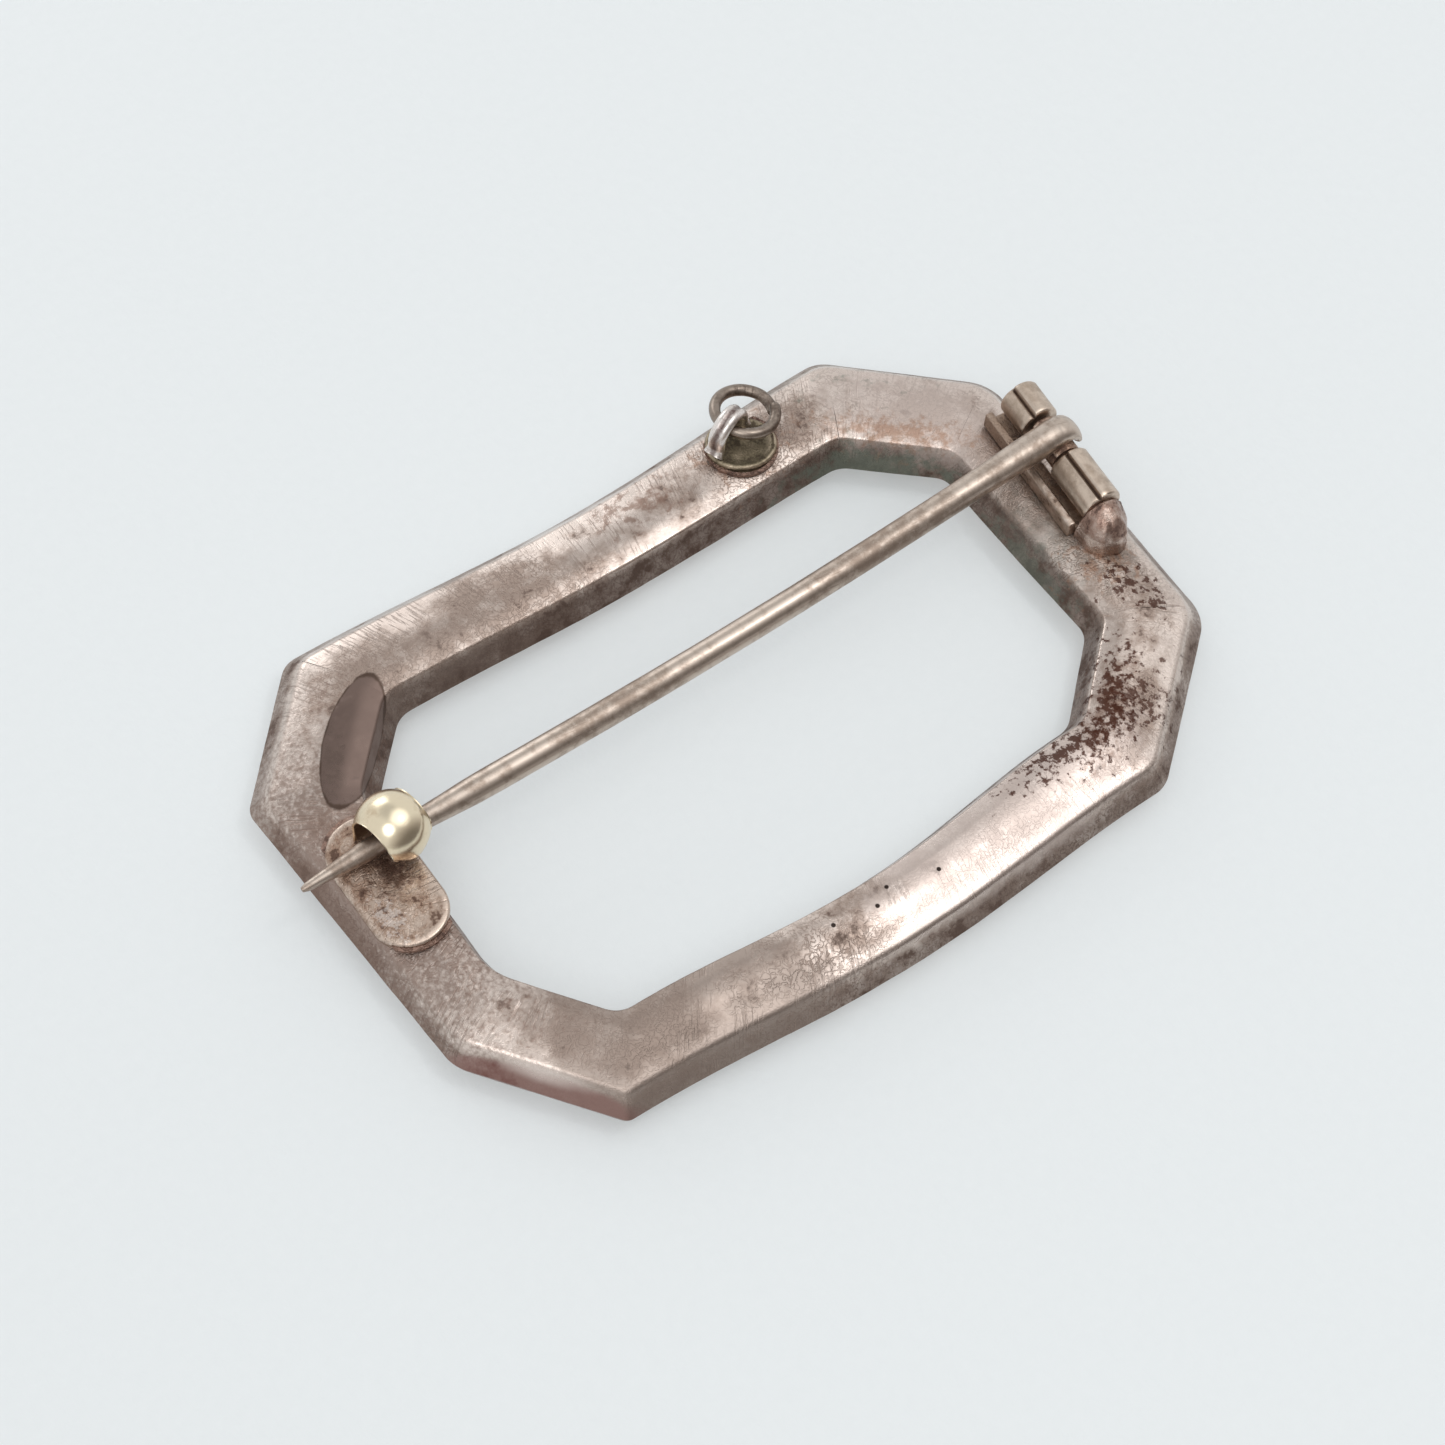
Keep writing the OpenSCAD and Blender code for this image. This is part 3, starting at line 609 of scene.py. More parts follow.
def outward(made, sharp=50):
    """Points that fell together are joined, faces point out, and only real edges look sharp."""
    work = bmesh.new()
    work.from_mesh(made.data)
    bmesh.ops.remove_doubles(work, verts=work.verts, dist=0.002 * MM)
    bmesh.ops.dissolve_degenerate(work, edges=work.edges, dist=0.0005 * MM)
    bmesh.ops.recalc_face_normals(work, faces=work.faces)
    work.to_mesh(made.data)
    work.free()
    made.data.shade_smooth()
    made.data.set_sharp_from_angle(angle=math.radians(sharp))
    return made


def settle(made, body, node_names):
    """Says which body a piece rides on and hides the CAD nodes it stands for."""
    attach(made, body)
    if node_names:
        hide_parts(*node_names)
    print(f"{made.name}: {len(made.data.polygons)} faces")


# %% The eight back bars


def along_octagon(lines):
    """The loft's three guides from an inner and an outer line of one or more bars."""
    inner_line, outer_line = (np.column_stack([line, np.zeros(len(line))]) for line in lines)
    return inner_line, outer_line - inner_line, (0, 0, 1)


def worked(made, metal_slot, wave=0.02, wave_mm=2.4, grain=0.004, grain_mm=0.5, seed=1.0, sharp=50):
    """Forms a loft, gives it its slow waves and its grain in millimetres, and cleans the skin."""
    grow(made, loft_tree, {
        "Wave height": wave * MM, "Wave size": 1 / (wave_mm * MM), "Grain height": grain * MM,
        "Grain size": 1 / (grain_mm * MM), "Seed": seed, "Metal": metal_slot,
    })
    return outward(made, sharp)


per_band = np.array([1 / band, 1])
for k, node_name in enumerate(BARS):
    guides = along_octagon(bar_lines(k, 0.22))
    bar = loft_mesh(f"{node_name}_formed", *guides, back_section * per_band, back_wear_and_shade)
    worked(bar, shell_silver, wave=0.035, grain=0.006, seed=4.0)
    settle(bar, "frame", [node_name])

# %% [markdown]
# ## The face
# The front shell is one pressed trough. Little of it shows from behind, because its inner edge slopes
# away under the back, but a brooch gets turned over, so its slopes and its flat are finished too. It
# is one closed ring of the same loft, with the same eight lines, so the two shells always meet.

# %% The front shell
bevel = 0.5  # the height of the front's outer slope
rim, face_start = 0.03 - draft, 0.75 - draft
face_line = finer(rounded([
    (band - 0.03, seam_z, 0), (band - 0.20, bevel, 0.3), (band - 0.85, 0, 0.35), (face_start, 0, 0.25),
    (rim, seam_z - 0.06, 0.05), (rim, seam_z, 0),
]), 0.2)
face_inside = np.array([
    (rim + sheet, seam_z), (face_start + 0.25, sheet), (band - 0.95, sheet),
    (band - sheet - 0.18, bevel + 0.15), (band - sheet - 0.03, seam_z),
])
face_section = np.vstack([face_line, face_inside])
face_rubbed = np.where(face_section[:, 1] < 0.3, 0.7, 0.15)
rings = list(zip(*[bar_lines(k, 0.3) for k in range(8)]))
face_lines = [np.vstack([line[:-1] for line in ring]) for ring in rings]
face_guides = along_octagon(face_lines)
face = loft_mesh("front_shell_pressed", *face_guides, face_section * per_band, face_rubbed, True)
worked(face, shell_silver, wave=0.015, seed=9.0)
settle(face, "frame", ["front_shell"])

# %% [markdown]
# ## Plain finishes for the fittings
# The fittings came from different stock: a gilded hook, a drawn pin, dark wire, bright solder. All are
# the same worn metal with other colours and another balance of film, grime and scratches. That keeps
# them one family, as things are that have lain in one drawer.

# %% Finishes of the fittings
fitting_metal = metal("tarnished_fitting", (0.58, 0.46, 0.38), (0.32, 0.21, 0.155), (0.08, 0.04, 0.028),
                      rough=0.3, film=0.55, grime=0.55, grain_mm=0.6, grain=0.8, relief=0.03, seed=11)
gilt_metal = metal("worn_gilt", (0.80, 0.69, 0.51), (0.54, 0.40, 0.26), (0.24, 0.13, 0.08),
                   rough=0.17, film=0.42, grime=0.15, scratches=0.2, relief=0.006, grain_mm=0.7,
                   grain=0.1, seed=21)
knuckle_metal = metal("rolled_strip", (0.62, 0.51, 0.42), (0.42, 0.33, 0.26), (0.10, 0.06, 0.045),
                      rough=0.28, film=0.5, grime=0.15, scratches=0.4, relief=0.012, grain_mm=0.5,
                      grain=0.3, seed=26)
strip_metal = metal("worn_strip", (0.60, 0.50, 0.43), (0.36, 0.265, 0.205), (0.09, 0.05, 0.036),
                    rough=0.3, film=0.5, grime=0.35, grain_mm=0.45, grain=0.6, relief=0.03, seed=81)
pin_metal = metal("drawn_wire", (0.56, 0.47, 0.40), (0.34, 0.265, 0.215), (0.12, 0.078, 0.06),
                  rough=0.31, film=0.54, grime=0.16, scratches=0.4, relief=0.006, grain_mm=0.5, grain=0.35,
                  lengthwise=True, seed=31)
solder_metal = metal("run_solder", (0.56, 0.45, 0.39), (0.30, 0.195, 0.155), (0.08, 0.045, 0.035),
                     rough=0.24, film=0.6, grime=0.5, relief=0.08, grain_mm=0.45, grain=0.8, seed=41)
pad_metal = metal("mossy_fitting", (0.42, 0.34, 0.25), (0.20, 0.165, 0.11), (0.06, 0.04, 0.025),
                  rough=0.34, film=0.55, grime=0.55, grain_mm=0.5, grain=0.7, relief=0.03, seed=71)
dark_metal = metal("oxidised_wire", (0.30, 0.245, 0.205), (0.14, 0.105, 0.085), (0.04, 0.026, 0.02),
                   rough=0.30, film=0.5, grime=0.35, relief=0.012, grain_mm=0.4, seed=51)
wire_metal = metal("polished_wire", (0.80, 0.74, 0.70), (0.48, 0.40, 0.36), (0.12, 0.07, 0.06),
                   rough=0.22, film=0.35, grime=0.2, relief=0.008, grain_mm=0.4, seed=61)
print("finishes made:", len(bpy.data.materials))

# %% [markdown]
# ## Reading places from the model
# Round pieces are measured on their meshes: the middle of a box, the axis of a ring. So the dressed
# pieces stay where the working parts are, even if a size of the model changes.

# %% Places of the fittings


def span(name):
    """The corners of a node's box, in millimetres."""
    points = point_rows(mesh_points(name))
    return points.min(0), points.max(0)


HINGE_TURN_DEG = -6  # the hinge was soldered on a little askew
hinge_turn = math.radians(HINGE_TURN_DEG)
hinge_along = np.array([-math.sin(hinge_turn), math.cos(hinge_turn), 0])
hinge_out = np.array([math.cos(hinge_turn), math.sin(hinge_turn), 0])
low, high = span("hinge_rivet")
hinge_middle = (low + high) / 2
knuckle_r = span("hinge_knuckle_ring")[1][2] - hinge_middle[2]
pin_knuckle_r = span("pin_knuckle")[1][2] - hinge_middle[2]
print("hinge middle", np.round(hinge_middle, 2), "knuckles", round(knuckle_r, 2), round(pin_knuckle_r, 2))


def reach_along(name):
    """Where a node begins and ends along the hinge, from its middle."""
    points = (point_rows(mesh_points(name)) - hinge_middle) @ hinge_along
    return points.min(), points.max()


# %% [markdown]
# ## Knuckles
# A knuckle is a strip rolled into a tube. The seam where the strip laps itself stays as a fine line
# along the top, with a bright edge beside it.

# %% Rolled knuckles


def tube_section(r, seam_at, seam_depth, seam_wide, steps=96):
    """A circle with one narrow groove, and how rubbed it is. Angles in degrees, from the outer side up."""
    angles = np.linspace(0, 2 * math.pi, steps, endpoint=False)
    near = np.degrees((angles - math.radians(seam_at) + math.pi) % (2 * math.pi) - math.pi) / seam_wide
    radius = r - seam_depth * np.exp(-near ** 4) - 0.35 * seam_depth * (near > 0) * np.exp(-near / 9)
    shape = np.column_stack([np.cos(angles), np.sin(angles)]) * radius[:, None]
    return shape, 0.3 - 1.3 * np.exp(-near ** 4) + 0.6 * np.exp(-((near + 2.2) ** 2))


def rolled(name, node, metal_slot, r, seam_at, seam_depth=0.13, body="frame", seed=1.0):
    """A knuckle from one end of its node to the other, with worn ends."""
    first, last = reach_along(node)
    ease = 0.09
    places = np.array([first, first + 0.02, first + ease, *np.linspace(first + 0.2, last - 0.2, 9),
                       last - ease, last - 0.02, last])
    size = np.array([0.88, 0.95, 1, *np.ones(9), 1, 0.95, 0.88])
    section, section_rubbed = tube_section(r, seam_at, seam_depth, 5.5)
    sections = section[None] * size[:, None, None]
    guide = hinge_middle + places[:, None] * hinge_along
    made = loft_mesh(name, guide, hinge_out, (0, 0, 1), sections, section_rubbed)
    worked(made, metal_slot, wave=0.02, wave_mm=1.6, seed=seed, sharp=40)
    settle(made, body, [node])


rolled("knuckle_ring_rolled", "hinge_knuckle_ring", knuckle_metal, knuckle_r, 118, seed=3.0)
rolled("knuckle_plain_rolled", "hinge_knuckle_plain", knuckle_metal, knuckle_r, 108, seed=5.0)
rolled("pin_knuckle_rolled", "pin_knuckle", fitting_metal, pin_knuckle_r, 150, 0.03, body="pin", seed=7.0)

# %% [markdown]
# ## Softened plates
# The hinge plate and its ridge were cut and bent from strip: the sizes are right, but no old edge is
# sharp. The same mesh with every real edge rounded, and a little unevenness, is enough.

# %% Softened copies


def softened(name, node, metal_slot, width, seed, wave=0.015):
    """A copy of a CAD node whose sharp edges are rounded by width, in millimetres."""
    work = bmesh.new()
    work.from_mesh(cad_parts[node].data)
    bmesh.ops.remove_doubles(work, verts=work.verts, dist=0.001 * MM)
    bmesh.ops.dissolve_limit(work, angle_limit=math.radians(2), verts=work.verts, edges=work.edges)
    sharp = [e for e in work.edges if len(e.link_faces) == 2 and e.calc_face_angle() > math.radians(35)]
    bmesh.ops.bevel(work, geom=sharp, offset=width * MM, segments=4, profile=0.5, affect="EDGES",
                    clamp_overlap=True)
    bmesh.ops.triangulate(work, faces=work.faces)
    long_edges = [e for e in work.edges if e.calc_length() > 0.4 * MM]
    bmesh.ops.subdivide_edges(work, edges=long_edges, cuts=3, use_grid_fill=True)
    work.normal_update()
    for vert in work.verts:
        at = vert.co / (1.2 * MM) + Vector((seed, 0, 0))
        vert.co += vert.normal * noise.noise(at) * wave * MM
    mesh = bpy.data.meshes.new(name)
    work.to_mesh(mesh)
    work.free()
    made = bpy.data.objects.new(name, mesh)
    bpy.context.collection.objects.link(made)
    mesh.materials.append(metal_slot)
    outward(made, 45)
    settle(made, "frame", [node])


softened("hinge_plate_worn", "hinge_plate", strip_metal, 0.09, 2.0)
softened("rivet_worn", "hinge_rivet", strip_metal, 0.04, 3.0)

# %% [markdown]
# ## Wires
# The pin, the staple and the jump ring are wire that follows a path. Each is a loft too: a round or
# grooved section carried along a line, thinner where the wire was filed to a point.

# %% Wire helper


def wire(name, points, sideways, radii, metal_slot, body, node, flat=1.0, groove=0.0, seed=1.0,
         wave=0.006, closed=False, steps=28):
    """A wire along points. sideways is square to the path everywhere; flat widens it that way."""
    points = np.array(points, float)
    tangent = np.gradient(points, axis=0)
    if closed:
        tangent = np.roll(points, -1, 0) - np.roll(points, 1, 0)
    tangent /= np.linalg.norm(tangent, axis=1)[:, None]
    sideways = np.broadcast_to(sideways, points.shape)
    upward = np.cross(sideways, tangent)
    upward /= np.linalg.norm(upward, axis=1)[:, None]
    angles = np.linspace(0, 2 * math.pi, steps, endpoint=False)
    dip = 1 - groove * np.exp(-((np.cos(angles) / 0.3) ** 2)) * (np.sin(angles) > 0)
    flat = np.broadcast_to(flat, len(points))[:, None]
    sections = np.stack([np.cos(angles) * flat, np.sin(angles) * dip + 0 * flat], axis=2)
    sections = sections * np.broadcast_to(radii, len(points))[:, None, None]
    worn = 0.4 - 2.4 * (1 - dip) / max(groove, 0.01) * (groove > 0)
    made = loft_mesh(name, points, sideways, upward, sections, np.maximum(worn, -0.9), closed)
    worked(made, metal_slot, wave=wave, wave_mm=1.5, grain=0.002, seed=seed, sharp=60)
    settle(made, body, [node])


# %% The pin
pin_low, pin_high = span("pin_stem")
pin_y = (pin_low[1] + pin_high[1]) / 2
wrap_r = pin_knuckle_r + 0.15
PIN_FALL_DEG = 2.034  # how far the stem falls from the hinge towards the hook
pin_fall = math.radians(PIN_FALL_DEG)
pin_length = (hinge_middle[0] - pin_low[0]) / math.cos(pin_fall) - wrap_r * math.sin(pin_fall)
barrel = np.array([hinge_middle[0], pin_y, hinge_middle[2]])
run = np.array([-math.cos(pin_fall), 0, -math.sin(pin_fall)])
rise = np.array([-math.sin(pin_fall), 0, math.cos(pin_fall)])
wrap_at = np.linspace(16, 92, 20)
wrap_thick = np.interp(wrap_at, [16, 17.5, 20, 50, 92], [0.16, 0.22, 0.25, 0.32, 0.50])
wrap_reach = np.interp(wrap_at, [16, 50, 92], [pin_knuckle_r + 0.23, pin_knuckle_r + 0.24, wrap_r])
wrap = [barrel + d * np.array([math.cos(a), 0, math.sin(a)]) for a, d in zip(np.radians(wrap_at), wrap_reach)]
run_at = np.concatenate([np.linspace(0.15, 4, 12), np.linspace(5, pin_length - 6, 22),
                         np.linspace(pin_length - 5, pin_length, 26)])
PIN_BOW = 0.34  # the old stem is bent sideways by this much at its middle
sag = PIN_BOW * np.sin(math.pi * np.clip(run_at / (pin_length - 3), 0, 1))
straight = [barrel + rise * wrap_r + run * d - np.array([0, w, 0]) for d, w in zip(run_at, sag)]
# The radius of the stem at distances from the hinge, and then at distances back from the point.
stem_radii = [(0, 0.53), (2, 0.56), (3.6, 0.545)]
point_radii = [(7.4, 0.535), (5.1, 0.42), (2.6, 0.395), (0.25, 0.17), (0.05, 0.14), (0, 0.09)]
stem_radii += [(pin_length - back, r) for back, r in point_radii]
run_radii = np.interp(run_at, *zip(*stem_radii))
pin_radii = np.concatenate([wrap_thick, run_radii])
pin_flat = np.concatenate([
    np.interp(wrap_at, [16, 18, 92], [0.56, 0.64, 0.62]) / wrap_thick,
    np.interp(run_at, [0, 2.5, 5], [1.2, 1.08, 1.0]),
])
wire("pin_drawn", wrap + straight, (0, 1, 0), pin_radii, pin_metal, "pin",
     "pin_stem", flat=pin_flat, seed=2.0, wave=0.014)

# %% The jump ring
ring_points = point_rows(mesh_points("jump_ring"))
flat_fit = np.linalg.svd(ring_points - ring_points.mean(0))[2]
ring_across, ring_up, ring_normal = flat_fit
ring_plane = (ring_points - ring_points.mean(0)) @ np.array([ring_across, ring_up]).T
circle_terms = np.column_stack([2 * ring_plane, np.ones(len(ring_plane))])
fit = np.linalg.lstsq(circle_terms, (ring_plane ** 2).sum(1), rcond=None)[0]
ring_middle = ring_points.mean(0) + fit[0] * ring_across + fit[1] * ring_up
ring_wire_r = np.abs((ring_points - ring_middle) @ ring_normal).max()
ring_outer = np.linalg.norm(ring_plane - fit[:2], axis=1).max()
print("jump ring middle", np.round(ring_middle, 2))
print("jump ring radius", round(ring_outer, 2), "wire", round(ring_wire_r, 2))
if ring_normal[2] < 0:
    ring_normal = -ring_normal
open_side = np.array([0.93, -0.36, 0.0])  # the way from the ring's middle to its cut
slit = math.atan2(open_side @ ring_up, open_side @ ring_across)
RING_STEPS, OVERLAP_DEG = 90, 4  # the ring's two ends lie a little past each other
turn_at = slit + np.radians(np.linspace(-OVERLAP_DEG, 360 + OVERLAP_DEG, RING_STEPS))
step_up = np.interp(np.linspace(0, 1, RING_STEPS), [0, 0.12, 0.88, 1], [-0.16, 0, 0, 0.16])
ring_path = [ring_middle + (ring_outer - ring_wire_r) * (math.cos(a) * ring_across + math.sin(a) * ring_up)
             + lift * ring_normal for a, lift in zip(turn_at, step_up)]
ring_radii = ring_wire_r * 0.98 * np.array([0.75, 0.95, *np.ones(RING_STEPS - 4), 0.95, 0.75])
wire("jump_ring_bent", ring_path, ring_normal, ring_radii, dark_metal, "ring", "jump_ring",
     seed=6.0, wave=0.02)

# %% The staple
low, high = span("ring_staple")
STAPLE_TURN_DEG = 20  # how far the arch is turned from the frame's length
staple_turn = math.radians(STAPLE_TURN_DEG)
staple_across = np.array([math.cos(staple_turn), math.sin(staple_turn), 0])
staple_flat = np.cross(staple_across, (0, 0, 1))
staple_middle = (low + high) / 2
leg = ((point_rows(mesh_points("ring_staple")) - staple_middle) @ staple_across).max()
strap_r = 0.24  # half the strap's thickness
arch_r = leg - strap_r + 0.08
arch_z = high[2] - leg + 0.12
foot_z = low[2] - 0.05
arch = [(-arch_r * 1.25, foot_z + 0.02), (-arch_r * 1.06, foot_z + 0.18)]
arch += [(-arch_r, z) for z in np.linspace(foot_z + 0.35, arch_z, 4)[:-1]]
arch += [(-arch_r * math.cos(t), arch_z + arch_r * math.sin(t)) for t in np.linspace(0, math.pi, 25)]
arch += [(arch_r, z) for z in np.linspace(arch_z, foot_z + 0.35, 4)[1:]]
arch += [(arch_r * 1.06, foot_z + 0.18), (arch_r * 1.25, foot_z + 0.02)]
staple_foot = np.array([staple_middle[0], staple_middle[1], 0])
staple_path = [staple_foot + a * staple_across + np.array([0, 0, z]) for a, z in arch]
staple_radii = np.full(len(arch), strap_r)
staple_radii[[0, -1]] = strap_r * 1.15
wire("staple_strap", staple_path, staple_flat, staple_radii, wire_metal, "frame", "ring_staple",
     flat=1.55, groove=0.3, seed=8.0, wave=0.02, steps=40)

# %% [markdown]
# ## The hook
# The hook was made from thick half-round strip, bent into an open ring and gilded, so it looks like a
# bead with a slot. A section with a round crown and a plain hole, turned round the pin, gives the bead;
# it narrows to the cut end. The whole hook is twisted a little on its foot, as such hooks are.

# %% The hook
hook_low, hook_high = span("catch_hook")
hook_x = (hook_low[0] + hook_high[0]) / 2
hook_w = (hook_high[0] - hook_low[0]) / 2
hook_r = (hook_high[1] - hook_low[1]) / 2
hook_y = (hook_low[1] + hook_high[1]) / 2
hook_z = hook_high[2] - hook_r
CROWN_PROUD, HOLE_IN, HOOK_SUNK = 0.20, 0.33, 0.16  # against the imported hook, in millimetres
BEAD_STEPS, HOLE_STEPS = 25, 9
HOOK_TWIST_DEG = 11  # the hook stands twisted on its foot
crown_r, hole_r = hook_r + CROWN_PROUD, hook_r - HOLE_IN
hook_z -= HOOK_SUNK
half_w = hook_w + 0.02
across_bead = np.linspace(-1, 1, BEAD_STEPS) * half_w
crown = np.sqrt(crown_r ** 2 - across_bead ** 2)
rim_r = (crown[0] + hole_r + 0.08) / 2
rim = np.array([(rim_r + 0.04, half_w + 0.04), (rim_r - 0.02, half_w + 0.01)])
across_hole = np.linspace(1, -1, HOLE_STEPS)
hole_line = np.column_stack([hole_r + 0.08 * across_hole ** 2, across_hole * (half_w - 0.06)])
bead = np.vstack([np.column_stack([crown, across_bead]), rim, hole_line, rim[::-1] * [1, -1]])
# The rim is rubbed bright; the inside of the hole is marked dark, for tarnish and painted shade.
bead_wear_and_shade = np.concatenate([np.full(BEAD_STEPS, 0.5), [0.9, 0.3], np.full(HOLE_STEPS, -0.9), [0.3, 0.9]])
hook_angles = np.radians(np.concatenate([np.linspace(0, 160, 41), np.linspace(164, 204, 15), [206, 207]]))
turned = np.degrees(hook_angles)
narrow = np.interp(turned, [0, 150, 175, 195, 204, 206, 207], [1, 1, 0.92, 0.66, 0.5, 0.44, 0.36])
thin = np.interp(turned, [0, 160, 190, 204, 206, 207], [1, 1, 0.86, 0.78, 0.68, 0.5])
leg_at = np.linspace(hook_low[2] - 0.05, hook_z, 7)[:-1]
twist = math.radians(HOOK_TWIST_DEG)
hook_side = np.array([math.cos(twist), math.sin(twist), 0])
hook_back = np.array([-math.sin(twist), math.cos(twist), 0])
hook_guide = [np.array([hook_x, hook_y, z]) for z in leg_at]
hook_guide += [np.array([hook_x, hook_y, hook_z])] * len(turned)
hook_out = [hook_back] * len(leg_at)
hook_out += [math.cos(a) * hook_back + np.array([0, 0, math.sin(a)]) for a in hook_angles]
narrow = np.concatenate([np.full(len(leg_at), 1.0), narrow])[:, None]
thin = np.concatenate([np.linspace(0.85, 1, len(leg_at)), thin])[:, None]
strip_middle = (hook_r + hole_r) / 2
bead_sections = np.stack([strip_middle + (bead[:, 0] - strip_middle) * thin, bead[:, 1] * narrow], axis=2)
hook = loft_mesh("catch_hook_bead", hook_guide, hook_out, hook_side, bead_sections, bead_wear_and_shade)
worked(hook, gilt_metal, wave=0.02, wave_mm=1.3, grain=0.003, seed=5.0, sharp=42)
settle(hook, "frame", ["catch_hook"])

# %% [markdown]
# ## Plates and solder
# A small plate is an outline carried in to its own middle line, with a rounded rim. Solder is the
# same shape with a ragged outline and a swelling top, as it froze. The catch plate lies over the
# shoulder of the frame, so it is bent down there.

# %% Plates


def patty(name, outline, spine, rim, metal_slot, node, wave=0.01, wave_mm=1.0, grain=0.004,
          grain_mm=0.5, seed=1.0, drape=None):
    """A low closed piece. outline and spine are lines of equal length; rim is its half section.

    drape gives how far the piece is bent down at a place, so it lies close on what it covers.
    """
    spine, rim = np.array(spine, float), np.array(rim)
    across = np.array(outline, float) - spine
    sections = np.repeat(rim[None], len(spine), axis=0)
    if drape is not None:
        places = spine[:, None, :] + across[:, None, :] * rim[None, :, :1]
        sections[:, :, 1] -= drape(places[..., 0], places[..., 1])
    edge_rubbed = 0.1 + 0.6 * (rim[:, 0] > 0.9) * (rim[:, 1] > 0.15)
    made = loft_mesh(name, spine, across, (0, 0, 1), sections, edge_rubbed, True)
    worked(made, metal_slot, wave=wave, wave_mm=wave_mm, grain=grain, grain_mm=grain_mm, seed=seed, sharp=50)
    settle(made, "frame", [node])


low, high = span("catch_plate")
plate_r = (high[0] - low[0]) / 2
plate_x = (high[0] + low[0]) / 2
plate_rim = [
    (0.0, -0.1), (0.98, -0.1), (1.0, 0.10), (0.995, 0.18), (0.965, 0.245), (0.92, 0.27), (0.8, 0.262),
    (0.6, 0.27), (0.4, 0.27), (0.2, 0.275), (0.0, 0.28),
]
turn_steps = np.linspace(0, 2 * math.pi, 96, endpoint=False)
plate_ends = [high[1] - plate_r if math.sin(t) >= 0 else low[1] + plate_r for t in turn_steps]
plate_spine = [np.array([plate_x, end, low[2]]) for end in plate_ends]
plate_edge = [p + plate_r * np.array([math.cos(t), math.sin(t), 0]) for p, t in zip(plate_spine, turn_steps)]


def over_end_shoulder(x, y):
    """How far the catch end's shoulder has fallen away under the plate."""
    past = np.clip(-x - abs(middles[3][0]) - 0.2, 0, None)
    return 0.34 * past ** 2


plate_foot = np.array([plate_x, low[1] + plate_r, back_z + 0.2])
# On the catch plate: a pale, smoother spot, rubbed metal with a painted highlight in its colour, and a dark
# spot, tarnish and painted shade.
rubbed_highlight_spot, shade_and_tarnish_spot = plate_foot + [-0.75, -0.1, 0], plate_foot + [0.2, 1.5, 0]
plate_patches = [
    (rubbed_highlight_spot, 0.8, (1.2, 0.6, 1), 1.1, 0.3, 0.6, 0.2, (0.74, 0.66, 0.61), 0.5, -0.08),
    (shade_and_tarnish_spot, 1.2, (0.9, 0.9, 1), 0.8, 0.2, 0.7, 0.3, (0.09, 0.045, 0.03), 0.8, 0.1),
]
plate_metal = metal("catch_fitting", (0.60, 0.48, 0.40), (0.34, 0.225, 0.165), (0.08, 0.04, 0.028),
                    rough=0.27, film=0.5, grime=0.5, grain_mm=0.5, grain=0.8, relief=0.035, seed=14,
                    patches=plate_patches)
patty("catch_plate_worn", plate_edge, plate_spine, plate_rim, plate_metal, "catch_plate",
      wave=0.03, seed=2.0, drape=over_end_shoulder)

low, high = span("ring_pad")
pad_middle = (low + high) / 2
pad_r = (high[0] - low[0]) / 2
pad_rim = [(0.0, -0.08), (0.98, -0.08), (1.0, 0.10), (0.99, 0.20), (0.95, 0.27), (0.89, 0.29), (0.83, 0.26),
           (0.76, 0.20), (0.6, 0.19), (0.3, 0.22), (0.0, 0.24)]
pad_spine = [np.array([pad_middle[0], pad_middle[1], low[2]]) for t in turn_steps]
pad_edge = [p + pad_r * (1 + 0.07 * math.cos(2 * t + 0.9)) * np.array([math.cos(t), math.sin(t), 0])
            for p, t in zip(pad_spine, turn_steps)]
patty("ring_pad_worn", pad_edge, pad_spine, pad_rim, pad_metal, "ring_pad",
      wave=0.03, seed=4.0)

# %% Solder at the hinge
lump_low = back_z - 0.1
knuckle_end = reach_along("hinge_knuckle_plain")[0]
lump_core = hinge_middle + hinge_along * (knuckle_end - 0.12) - hinge_out * 0.12
lump_edge, lump_spine = [], []
for t in turn_steps:
    ragged = 1 + 0.05 * math.sin(2 * t + 0.6) + 0.03 * math.sin(5 * t + 1.0) + 0.02 * math.sin(11 * t)
    away = -math.sin(t)
    reach_out = (1.05 if away > 0 else 0.25) * away
    lump_spine.append(np.array([lump_core[0], lump_core[1], lump_low]))
    spread = 1.08 * math.cos(t) * hinge_out - 1.42 * reach_out * hinge_along
    lump_edge.append(lump_spine[-1] + ragged * spread)
lump_h = hinge_middle[2] + knuckle_r * 0.62 - lump_low
dome = [(0.0, -0.5), (0.9, -0.5), (1.0, -0.3), (1.0, -0.1)]
dome += [(math.cos(a) ** 0.9, lump_h * math.sin(a) ** 0.95) for a in np.radians(np.linspace(6, 89, 20))]
patty("hinge_solder_lump", lump_edge, lump_spine, dome, solder_metal, "hinge_solder",
      wave=0.07, wave_mm=0.8, grain=0.015, grain_mm=0.3, seed=3.0)

for node_name in ("catch_solder", "ring_pad_solder"):
    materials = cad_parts[node_name].data.materials
    for k in range(len(materials)):
        materials[k] = solder_metal

# %% [markdown]
# ## Table, light and camera
# A pale matt table and a soft, nearly shadowless light, as in a light tent that is open towards the
# viewer: bright behind, a little darker straight overhead, and darker and browner near the horizon in
# front. Metal shows mostly what it reflects, so this gradient shapes the bars. Two brighter places, a
# window and a strip, put the long highlight on the plain side and the line along the next edge.

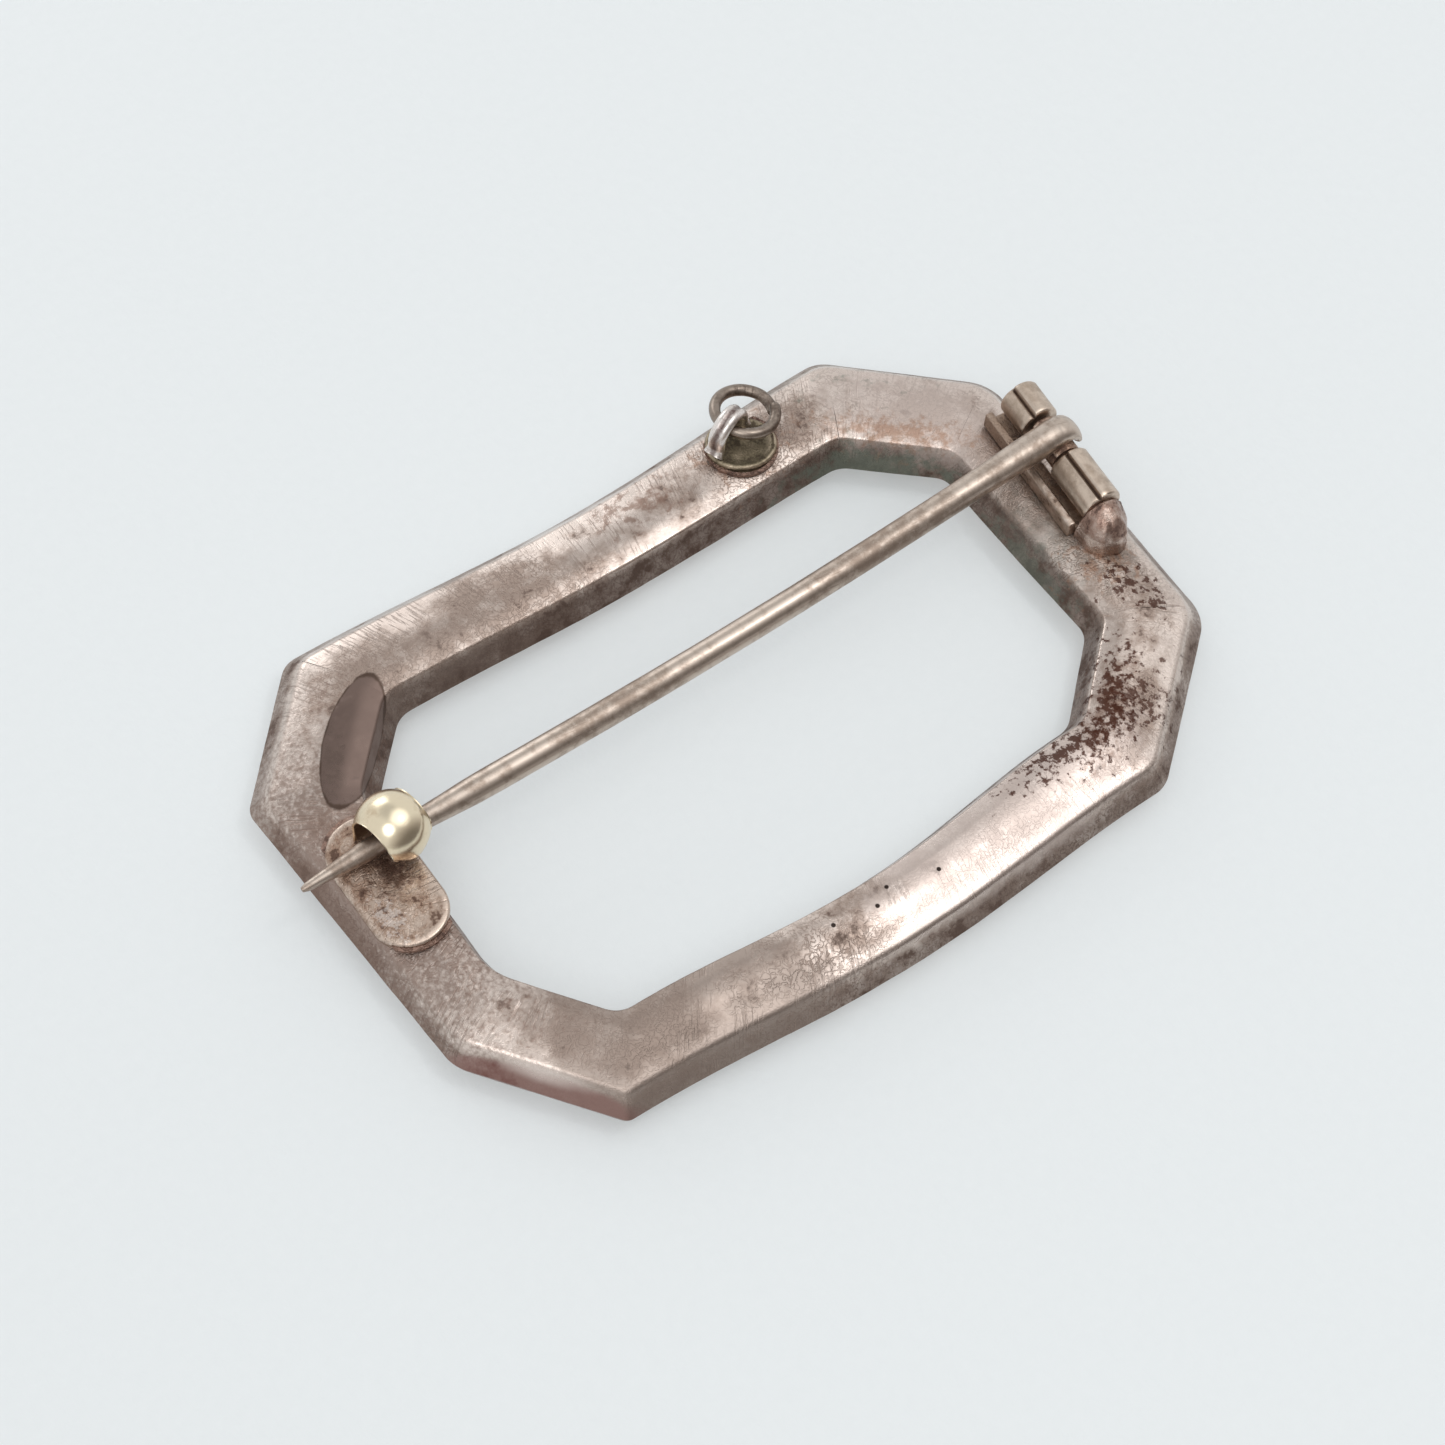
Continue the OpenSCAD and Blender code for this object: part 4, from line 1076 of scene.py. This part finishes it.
# %% Table
table_mesh = bpy.data.meshes.new("table")
TABLE_HALF = 0.6  # metres
table_corners = [(x * TABLE_HALF, y * TABLE_HALF, 0) for x, y in ((-1, -1), (1, -1), (1, 1), (-1, 1))]
table_mesh.from_pydata(table_corners, [], [(0, 1, 2, 3)])
table = bpy.data.objects.new("table", table_mesh)
bpy.context.collection.objects.link(table)
paper = bpy.data.materials.new("pale_table")
paper.use_nodes = True
paper_tree = paper.node_tree
paper_shader = paper_tree.nodes["Principled BSDF"]
paper_at = put(paper_tree, "ShaderNodeTexCoord").outputs["Object"]
paper_shade = clouds(paper_tree, paper_at, 0.5, 4.0)
paper_colour = blend_colour(paper_tree, paper_shade, (0.44, 0.455, 0.46), (0.47, 0.483, 0.487))
paper_tree.links.new(paper_colour, paper_shader.inputs["Base Color"])
paper_shader.inputs["Roughness"].default_value = 0.5
paper_shader.inputs["Emission Color"].default_value = (0.93, 0.97, 0.98, 1)
paper_shader.inputs["Emission Strength"].default_value = 0.30  # so that shadows stay pale
paper_bump = put(paper_tree, "ShaderNodeBump", None, {
    "Height": paper_shade, "Strength": 0.3, "Distance": 0.0001,
})
paper_tree.links.new(paper_bump.outputs[0], paper_shader.inputs["Normal"])
table_mesh.materials.append(paper)
print("table", 2 * TABLE_HALF, "m wide")

# %% Sky and lights
world = bpy.data.worlds.new("light_tent")
bpy.context.scene.world = world
world.use_nodes = True
sky = world.node_tree
looking = put(sky, "ShaderNodeTexCoord").outputs["Generated"]


def lobe(towards, wide, narrow, low, high):
    """low away from a direction, high near it, with a soft edge between two angles in degrees."""
    direction = vector_calc(sky, "NORMALIZE", towards)
    closeness = vector_calc(sky, "DOT_PRODUCT", looking, direction)
    return ramp(sky, closeness, math.cos(math.radians(wide)), math.cos(math.radians(narrow)), low, high)


window = lobe((0.33, -0.14, 0.93), 33, 11, 0.0, 0.85)
edge_strip = lobe((-0.45, -0.38, 0.81), 20, 9, 0.0, 2.2)
front_dark = lobe((0.30, -0.95, -0.15), 75, 25, 1.0, 0.22)
overhead_dark = lobe((0.05, 0.45, 0.9), 30, 8, 1.0, 0.72)
level = times(sky, times(sky, front_dark, overhead_dark), 0.88)
level = plus(sky, plus(sky, level, window), edge_strip)
warmth = blend_colour(sky, front_dark, (1.0, 0.90, 0.84), (0.97, 0.99, 1.0))
sky.links.new(warmth, sky.nodes["Background"].inputs["Color"])
sky.links.new(level, sky.nodes["Background"].inputs["Strength"])


def softbox(name, place, size, power, colour=(1, 1, 1)):
    """A square soft light that faces the brooch."""
    lamp = bpy.data.lights.new(name, "AREA")
    lamp.shape, lamp.size, lamp.energy, lamp.color = "SQUARE", size, power, colour
    made = bpy.data.objects.new(name, lamp)
    made.location = place
    made.rotation_euler = (-Vector(place)).to_track_quat("-Z", "Y").to_euler()
    bpy.context.collection.objects.link(made)


softbox("window_light", (0.11, -0.07, 0.30), 0.04, 0.06)
softbox("back_light", (0.02, 0.30, 0.12), 0.16, 0.12, (0.95, 0.98, 1.0))
print("sky", len(sky.nodes), "nodes, lights", len(bpy.data.lights))

# %% Camera
# The view is three-quarter from above, turned so that the pin points down to the left. right and up
# are the camera's own directions; the place is in metres.
right, up = Vector((0.80818, -0.58624, 0.05635)), Vector((0.48311, 0.71463, 0.50588))
ahead = up.cross(right)
camera = bpy.data.objects.new("camera", bpy.data.cameras.new("camera"))
turn = Matrix((right, up, -ahead)).transposed().to_4x4()
turn.translation = Vector((-0.037271, -0.041226, 0.094685))
camera.matrix_world = turn
camera.data.sensor_width = 36
camera.data.lens = 71.66
camera.data.clip_start = 0.005
bpy.context.collection.objects.link(camera)
bpy.context.scene.camera = camera
bpy.context.scene.view_settings.view_transform = "Standard"
print("camera", round(camera.data.lens, 1), "mm lens,", round(camera.location.length * 1000), "mm away")
